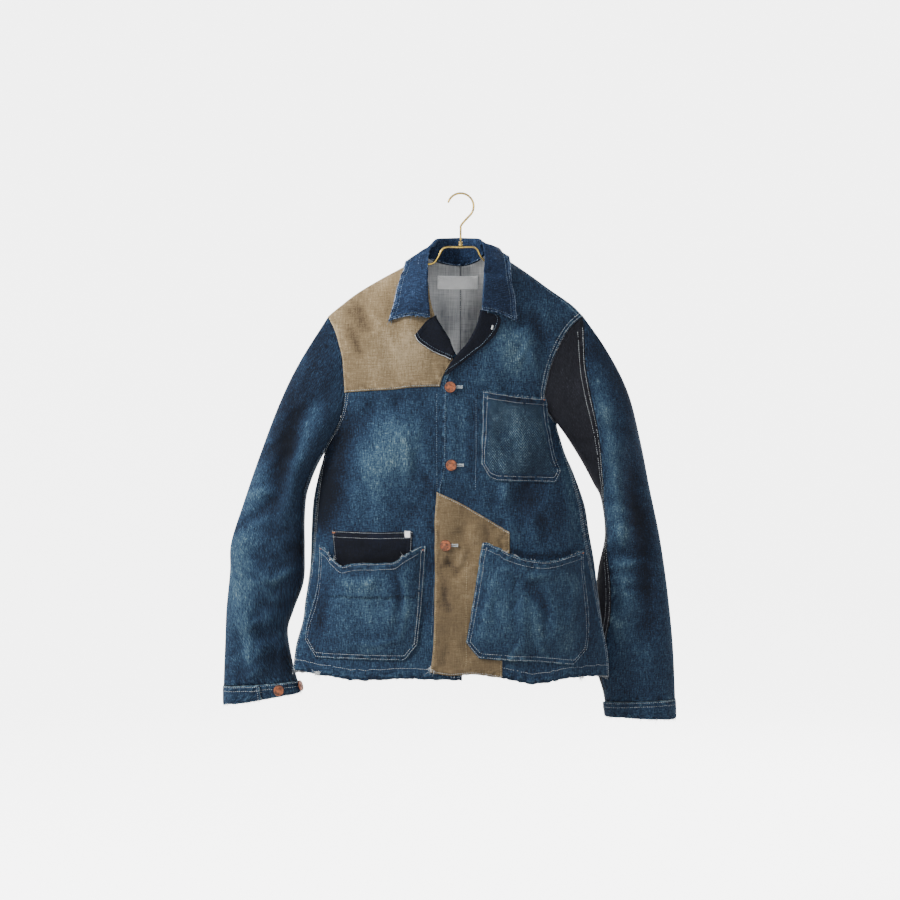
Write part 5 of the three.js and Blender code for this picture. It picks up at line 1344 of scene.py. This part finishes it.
# Turned pieces: a profile of [radius, height] carried round an axis
def turned(name, outline, centre, axis, materials, around=40):
    outline = np.array(outline, float)
    axis = unit(np.array(axis, float))
    side = unit(np.cross(axis, [0.31, 0.2, 1.0]))
    other = np.cross(axis, side)
    angle = np.linspace(0, tau, around, endpoint=False)
    ring = np.cos(angle)[:, None] * side + np.sin(angle)[:, None] * other
    inner = outline[(outline[:, 0] > 0)]
    points = np.array(centre) + inner[:, None, 1:] * axis + inner[:, None, :1] * ring[None]
    count = len(inner)
    first, last = np.array(centre) + outline[0, 1] * axis, np.array(centre) + outline[-1, 1] * axis
    points = np.concatenate([points.reshape(-1, 3), [first, last]])
    k = np.arange(around)
    after = (k + 1) % around
    faces = [[r * around + a, r * around + b, (r + 1) * around + b, (r + 1) * around + a]
             for r in range(count - 1) for a, b in zip(k, after)]
    faces += [[count * around, b, a] for a, b in zip(k, after)]
    faces += [[count * around + 1, (count - 1) * around + a, (count - 1) * around + b] for a, b in zip(k, after)]
    mesh = bpy.data.meshes.new(name)
    mesh.from_pydata((points * mm).tolist(), [], [[int(i) for i in face] for face in faces])
    mesh.polygons.foreach_set("use_smooth", np.full(len(mesh.polygons), True))
    for material in materials:
        mesh.materials.append(material)
    made = bpy.data.objects.new(name, mesh)
    bpy.context.scene.collection.objects.link(made)
    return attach(made, "root")


button = {"outline": [[0, 0], [3, 0], [3.2, 0.9], [7.9, 1.0], [8.5, 1.3], [8.8, 1.9], [8.7, 2.6], [8.2, 3.15],
                      [7.5, 3.35], [6.9, 3.2], [6.5, 2.85], [5.4, 2.75], [3.9, 2.8], [3.5, 3.05], [2.6, 3.45],
                      [1.4, 3.6], [0, 3.62]],
          "front": [(-17, 310, 0.0), (-15, 433, 0.0), (-24, 559, 0.8)],
          "cuffs": {"right": [(0.976, 2.06), (0.974, 3.0)], "left": [(0.976, 3.6), (0.976, 4.3)]}}


def addButtons():
    for i, (x, drop, over) in enumerate(button["front"], 1):
        x, drop = np.float64(x), np.float64(drop)
        normal = bodyNormal(x, drop, frontFace)
        centre = bodyPoint(x, drop, frontFace) + normal * (lap(x, drop) + over + 0.4)
        made = turned(f"button_front_{i}_tack", button["outline"], centre, normal, [copper])
        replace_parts(made, f"button_front_{i}")
    for word, places in button["cuffs"].items():
        for i, (t, angle) in enumerate(places, 1):
            t, angle = np.array([t]), np.array([angle])
            normal = sleeveNormals(sleeves[word], t, angle)[0]
            lift = float(cuffLift(word, angle)[0]) + 1.4 + 0.4
            centre = sleevePoints(sleeves[word], t, angle)[0] + normal * lift
            made = turned(f"button_cuff_{word}_{i}_tack", button["outline"], centre, normal, [copper])
            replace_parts(made, f"button_cuff_{word}_{i}")


# Wire: rings about a line that stays in one upright plane, with rounded ends
def wireAlong(name, line, radius, materials, around=16):
    line = np.asarray(line, float)
    along = unit(np.gradient(line, axis=0))
    side = np.cross(along, [0, 1, 0])
    width = np.full(len(line), radius)
    tip = np.array([0.35, 0.7, 0.92])
    width[:3], width[-3:] = radius * tip, radius * tip[::-1]
    line = line.copy()
    for end, step in ((0, 1), (-1, -1)):
        for k in range(3):
            line[end + step * k] = line[end] + (line[end + 3 * step] - line[end]) * (0, 0.2, 0.5)[k]
    angle = np.linspace(0, tau, around, endpoint=False)
    ring = np.cos(angle)[None, :, None] * side[:, None] + np.sin(angle)[None, :, None] * np.array([0, 1, 0])
    points = (line[:, None] + ring * width[:, None, None]).reshape(-1, 3)
    rings = len(line)
    k = np.arange(around)
    after = (k + 1) % around
    faces = [[r * around + a, r * around + b, (r + 1) * around + b, (r + 1) * around + a]
             for r in range(rings - 1) for a, b in zip(k, after)]
    faces += [list(k[::-1]), list((rings - 1) * around + k)]
    mesh = bpy.data.meshes.new(name)
    mesh.from_pydata((points * mm).tolist(), [], [[int(i) for i in face] for face in faces])
    mesh.polygons.foreach_set("use_smooth", np.full(len(mesh.polygons), True))
    for material in materials:
        mesh.materials.append(material)
    made = bpy.data.objects.new(name, mesh)
    bpy.context.scene.collection.objects.link(made)
    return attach(made, "root")


hanger = {"wire": 1.75, "hookRadius": 20.8, "tip": 165, "end": -40, "shaft": [[1.6, -48.3], [0.1, -56], [0, -75.4]],
          "ferrule": [[0, -83], [3.0, -83], [3.5, -82.4], [3.5, -80.6], [3.15, -80.2], [3.15, -78], [3.5, -77.6],
                      [3.5, -76.2], [3.1, -75.5], [0, -75.5]],
          "arms": [[-187, 186], [-166, 166.6], [-126, 141], [-89, 121], [-60, 113], [-44, 110], [-36, 100], [-30, 89],
                   [-22, 84.6], [0, 84.6], [20, 84.6], [27, 89], [32, 99], [42, 108], [60, 109], [74, 112], [92, 124],
                   [111, 136], [141, 157], [174, 184]]}


def addHanger():
    centre = hanger["wire"] - hanger["hookRadius"]
    angle = np.radians(np.linspace(hanger["tip"], hanger["end"], 60))
    hook = np.stack([hanger["hookRadius"] * np.cos(angle), centre + hanger["hookRadius"] * np.sin(angle)], -1)
    shaft = softLine(np.concatenate([hook[-4:], hanger["shaft"]]), 8)[24:]
    flat = np.concatenate([hook[:-1], shaft])
    upright = lambda p: np.stack([p[:, 0], 0 * p[:, 0], p[:, 1]], -1)
    made = [(wireAlong("hanger_hook_wire", upright(flat), hanger["wire"], [brass]), "hanger_hook"),
            (turned("hanger_ferrule_brass", hanger["ferrule"], [0, 0, 0], [0, 0, 1], [brass]), "hanger_ferrule")]
    arms = softLine(hanger["arms"], 10) * [1, -1]
    made.append((wireAlong("hanger_arms_wire", upright(arms), hanger["wire"], [brass]), "hanger_arms"))
    for piece, node in made:
        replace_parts(piece, node)


# Rows of stitches along the panels' edges, each at its distance in from the edge, and the frayed hem
def sewPanels(grids):
    for name, grid in grids.items():
        front = name.startswith("front")
        outer, inner = ("last", "first") if name in ("front_left", "back_left") else ("first", "last")
        sewInside(name, grid, "bottom", 16.5, thread="pale", skip=0.02)
        for inset in (2.4, 7.4):
            sewInside(name, grid, outer, inset, thread="pale", skip=0.02)
        sewInside(name, grid, "top", 2.4, thread="blue")
        sewInside(name, grid, "top", 7.0, thread="blue")
        if front:
            sewInside(name, grid, inner, 5.0, thread="blue")
        frayEdgeOf(name, grid, "bottom", 0.30, 1.7)
        frayEdgeOf(name, grid, "bottom", 0.35, 1.2, thread="frayBlue")
    left = grids["back_left"]
    for inset in (3.2, 8.0):
        sewInside("back_left", left, "first", inset, thread="blue")
    for name, side, inset in (("back_right", "last", 3.4), ("back_right", "last", 8.0)):
        grid = grids[name]
        wrong = dict(grid, points=grid["points"] - gridNormals(grid["points"], grid["sign"]) * (body["cloth"] + 0.05),
                     sign=-grid["sign"])
        sewInside(name, wrong, side, inset, thread="pale")
    facing = [[[24, 329], [24, 400], [23, 473]], [[10, 585], [9, 612], [8, 660], [8, 748]]]
    for path, lift in ((facing[0], lap), (facing[1], lambda x, drop: lap(x, drop) + patchRise)):
        sewOnBody("front_left", frontFace, path, lift, thread="blue" if lift is lap else "tan")
    hiddenEdge = [[-38, 320], [-38, 400], [-38, 520], [-46, 700]]
    sewOnBody("front_right", frontFace, hiddenEdge, level(0), thread="blue", skip=0.05)
    for name, x, drop, reach in (("front_right", -226, 761, 9), ("front_left", 191, 768, 8),
                                 ("front_left", -46, 750, 7)):
        knot = np.array([[x - reach / 2, drop], [x, drop], [x + reach / 2, drop]], float)
        place, normal = bodyPoint(*knot.T, frontFace), bodyNormal(*knot.T, frontFace)
        frayAlong(name, place + normal * 1.2, np.broadcast_to([0.0, -0.4, -1.0], (3, 3)), normal, 4.5, 5.0)


def sewSewnOn(grids):
    for name, thread in (("patch_shoulder", "tan"), ("patch_front_edge", "tan")):
        for side in ("top", "bottom", "first", "last"):
            shown = side == "bottom" or name == "patch_front_edge" and side == "top"
            sewInside(name, grids[name], side, 2.4, thread="pale" if shown else thread)
    for name in ("pocket_chest", "pocket_lower_right", "pocket_lower_left"):
        for side in ("first", "bottom", "last"):
            for inset in (2.2, 8.2):
                sewInside(name, grids[name], side, inset, start=inset - 2, end=inset - 2, thread="pale", skip=0.02)
        for inset in (2.6, 11.0):
            sewInside(name, grids[name], "top", inset, thread="pale", skip=0.02)
        frayEdgeOf(name, grids[name], "top", 0.22, 1.2)
    for side, inset in (("top", 2.2), ("top", 10.6), ("first", 2.2), ("last", 2.2)):
        sewInside("pocket_tool", grids["pocket_tool"], side, inset, thread="pale")
    bars = [("pocket_chest", 39, 318, 7, 0), ("pocket_chest", 128, 329, 7, 0), ("pocket_lower_left", 39, 558, 7, 12),
            ("pocket_lower_left", 190, 574, 7, -14), ("pocket_lower_right", -217, 567, 7, 20),
            ("pocket_lower_right", -62, 566, 7, -12), ("pocket_tool", -200, 540, 5, 0)]
    for name, x, drop, length, tilt in bars:
        place, normal = onSewn(name, x, drop)
        tilt = math.radians(tilt)
        sewBar(name, place, [math.cos(tilt), 0, -math.sin(tilt)], normal, length, 2.2, 22, "copper", 0.26)
    for name, x, drop, reach in (("pocket_lower_right", -199, 583, 8), ("pocket_lower_right", -90, 578, 8),
                                 ("pocket_lower_left", 67, 570, 9), ("pocket_lower_left", 84, 576, 5)):
        place, normal = onSewn(name, x, drop)
        ends = place + np.array([[-reach / 2, 0, 0], [0, 0, 0], [reach / 2, 0, 0]])
        frayAlong(name, ends, np.broadcast_to([0.2, -0.3, 1.0], (3, 3)), np.broadcast_to(normal, (3, 3)), 5.0, 2.6)


def onSewn(name, x, drop):
    x, drop = np.float64(x), np.float64(drop)
    normal = bodyNormal(x, drop, frontFace)
    return bodyPoint(x, drop, frontFace) + normal * sewnLift(name)(x, drop), normal


# A worked buttonhole: two close rows of thread either side of a slit, and a bar at each end
def sewButtonhole(piece, centre, along, normal, length, thread="pale"):
    along, normal = unit(np.array(along, float)), unit(np.array(normal, float))
    across = np.cross(along, normal)
    for side in (-1, 1):
        sewBar(piece, centre + across * 1.35 * side, along, normal, length, 2.0, int(length * 1.9), thread, 0.27)
    for end in (-1, 1):
        sewBar(piece, centre + along * (length / 2) * end, across, normal, 4.4, 1.6, 9, thread, 0.27)


def sewButtonholes():
    for x, drop, over in button["front"]:
        x, drop = np.float64(x), np.float64(drop)
        normal = bodyNormal(x, drop, frontFace)
        place = bodyPoint(x, drop, frontFace) + normal * (lap(x, drop) + over * 1.9 + 0.05)
        sewButtonhole("front_left", place + np.array([7.5, 0, 0]), [1, 0, 0], normal, 23)
    knotAt = np.float64(49.5), np.float64(216), frontFace
    place, normal = bodyPoint(*knotAt), bodyNormal(*knotAt)
    sewBar("lapel_left", place + normal * (1.6 + 2.2 + 0.7), [0.3, 0, 1], normal, 6, 3.2, 10, "white")
    for word, t, angle, length in (("right", 0.977, 1.12, 24), ("left", 0.975, 4.78, 24), ("left", 0.977, 2.55, 24),
                                   ("right", 0.976, 4.9, 24)):
        sleeve = sleeves[word]
        t, angle = np.array([t]), np.array([angle])
        normal = sleeveNormals(sleeve, t, angle)[0]
        along = sleevePoints(sleeve, t, angle + 0.05)[0] - sleevePoints(sleeve, t, angle)[0]
        above = float(cuffLift(word, angle)[0]) + sleeveForm["cuffTop"] + 0.05
        place = sleevePoints(sleeve, t, angle)[0] + normal * above
        sewButtonhole(f"cuff_{word}", place, along, normal, length, "white")


def sewLapels(grids):
    sewInside("lapel_right", grids["lapel_right"], "first", 0.7, pitch=1.9, length=2.6, radius=0.32, thread="white")
    for name, side in (("lapel_left", "last"), ("lapel_right", "first")):
        sewInside(name, grids[name], side, 6.0, thread="blue")


# each kind of thread on a piece becomes one mesh
def joinThreads():
    made = {}
    for store, word, rings, around in ((sewing, "seams", 4, 4), (fraying, "fray", 4, 3)):
        for (piece, thread), groups in store.items():
            threadsHere = np.concatenate(groups)
            count = len(threadsHere)
            faces = joinedFaces(count, rings, around)
            name = f"{piece}_{word}_{thread}"
            joined = makeMesh(name, threadsHere.reshape(-1, 3), faces, [threads[thread]])
            made.setdefault(piece, []).append(joined)
    return made


print("laying out the panels")
panelGrids = addPanels()
sewnGrids = addSewnOnPieces()
lapelGrids = addLapels()
addTapes()
print("sleeves, cuffs and collar")
addSleeves()
addCollar()
print("buttons and hanger")
addButtons()
addHanger()
print("sewing and frayed threads")
sewPanels(panelGrids)
sewSewnOn(sewnGrids)
sewLapels(lapelGrids)
sewButtonholes()
threadPieces = joinThreads()

# Studio: a pale floor that curves up into a pale wall all round
studio = {"floor": -1.32, "flat": 3.6, "wall": 4.8, "top": 3.2, "around": 96, "steps": 14}


def addStudio():
    cove = studio["wall"] - studio["flat"]
    turn = np.linspace(0, np.pi / 2, studio["steps"] + 1)
    rings = [(0.0001, studio["floor"]), (studio["flat"], studio["floor"])]
    rings += [(studio["flat"] + cove * math.sin(a), studio["floor"] + cove * (1 - math.cos(a))) for a in turn[1:]]
    rings += [(studio["wall"], studio["top"])]
    angle = np.linspace(0, tau, studio["around"], endpoint=False)
    points = np.array([[r * math.cos(a), r * math.sin(a), z] for r, z in rings for a in angle])
    k, around = np.arange(studio["around"]), studio["around"]
    faces = [[r * around + i, r * around + (i + 1) % around, (r + 1) * around + (i + 1) % around, (r + 1) * around + i]
             for r in range(len(rings) - 1) for i in k]
    mesh = bpy.data.meshes.new("studio_floor")
    mesh.from_pydata(points.tolist(), [], [[int(i) for i in face] for face in faces])
    mesh.polygons.foreach_set("use_smooth", np.full(len(mesh.polygons), True))
    floor = bpy.data.objects.new("studio_floor", mesh)
    bpy.context.scene.collection.objects.link(floor)
    shop = Finish("studio-paper", Roughness=0.9, Specular_IOR_Level=0.1, Emission_Color=(1, 1, 1, 1),
                  Emission_Strength=4.6)
    paper = shop.noise(shop.objectPlace(), 1.2, 2, 0.5)
    mesh.materials.append(shop.feed(Base_Color=shop.ramp(paper, [(0.2, colour("e9e9e8")), (0.8, colour("eeeeee"))])))
    floor.visible_shadow = False
    floor.visible_diffuse = False


lights = [  # name, place in metres, size, watts, colour
    ("key", (-2.5, -1.25, 1.6), 0.8, 290, (1.0, 0.985, 0.96)),
    ("fill", (0.3, -3.4, 0.4), 1.2, 52, (0.97, 0.98, 1.0)),
    ("back", (1.2, 2.8, 1.4), 1.4, 150, (1.0, 1.0, 1.0)),
]


def addLights():
    middle = Vector((-0.017, 0, -0.42))
    for name, place, size, watts, tint in lights:
        lamp = bpy.data.lights.new(name, "AREA")
        lamp.size, lamp.energy, lamp.color = size, watts, tint
        made = bpy.data.objects.new(name, lamp)
        bpy.context.scene.collection.objects.link(made)
        made.location = place
        made.rotation_euler = (middle - Vector(place)).to_track_quat("-Z", "Y").to_euler()
    world = bpy.data.worlds.new("pale")
    world.use_nodes = True
    world.node_tree.nodes["Background"].inputs[0].default_value = (0.93, 0.95, 1.0, 1)
    world.node_tree.nodes["Background"].inputs[1].default_value = 0.30
    bpy.context.scene.world = world


def addCamera():
    distance, width = 3.0, 1.44
    lens = bpy.data.cameras.new("front")
    lens.sensor_width = 36
    lens.lens = lens.sensor_width * distance / width
    made = bpy.data.objects.new("front", lens)
    bpy.context.scene.collection.objects.link(made)
    made.location = (-0.017, -distance, -0.409)
    made.rotation_euler = (math.radians(90), 0, 0)
    bpy.context.scene.camera = made


addStudio()
addLights()
addCamera()
print("studio ready")
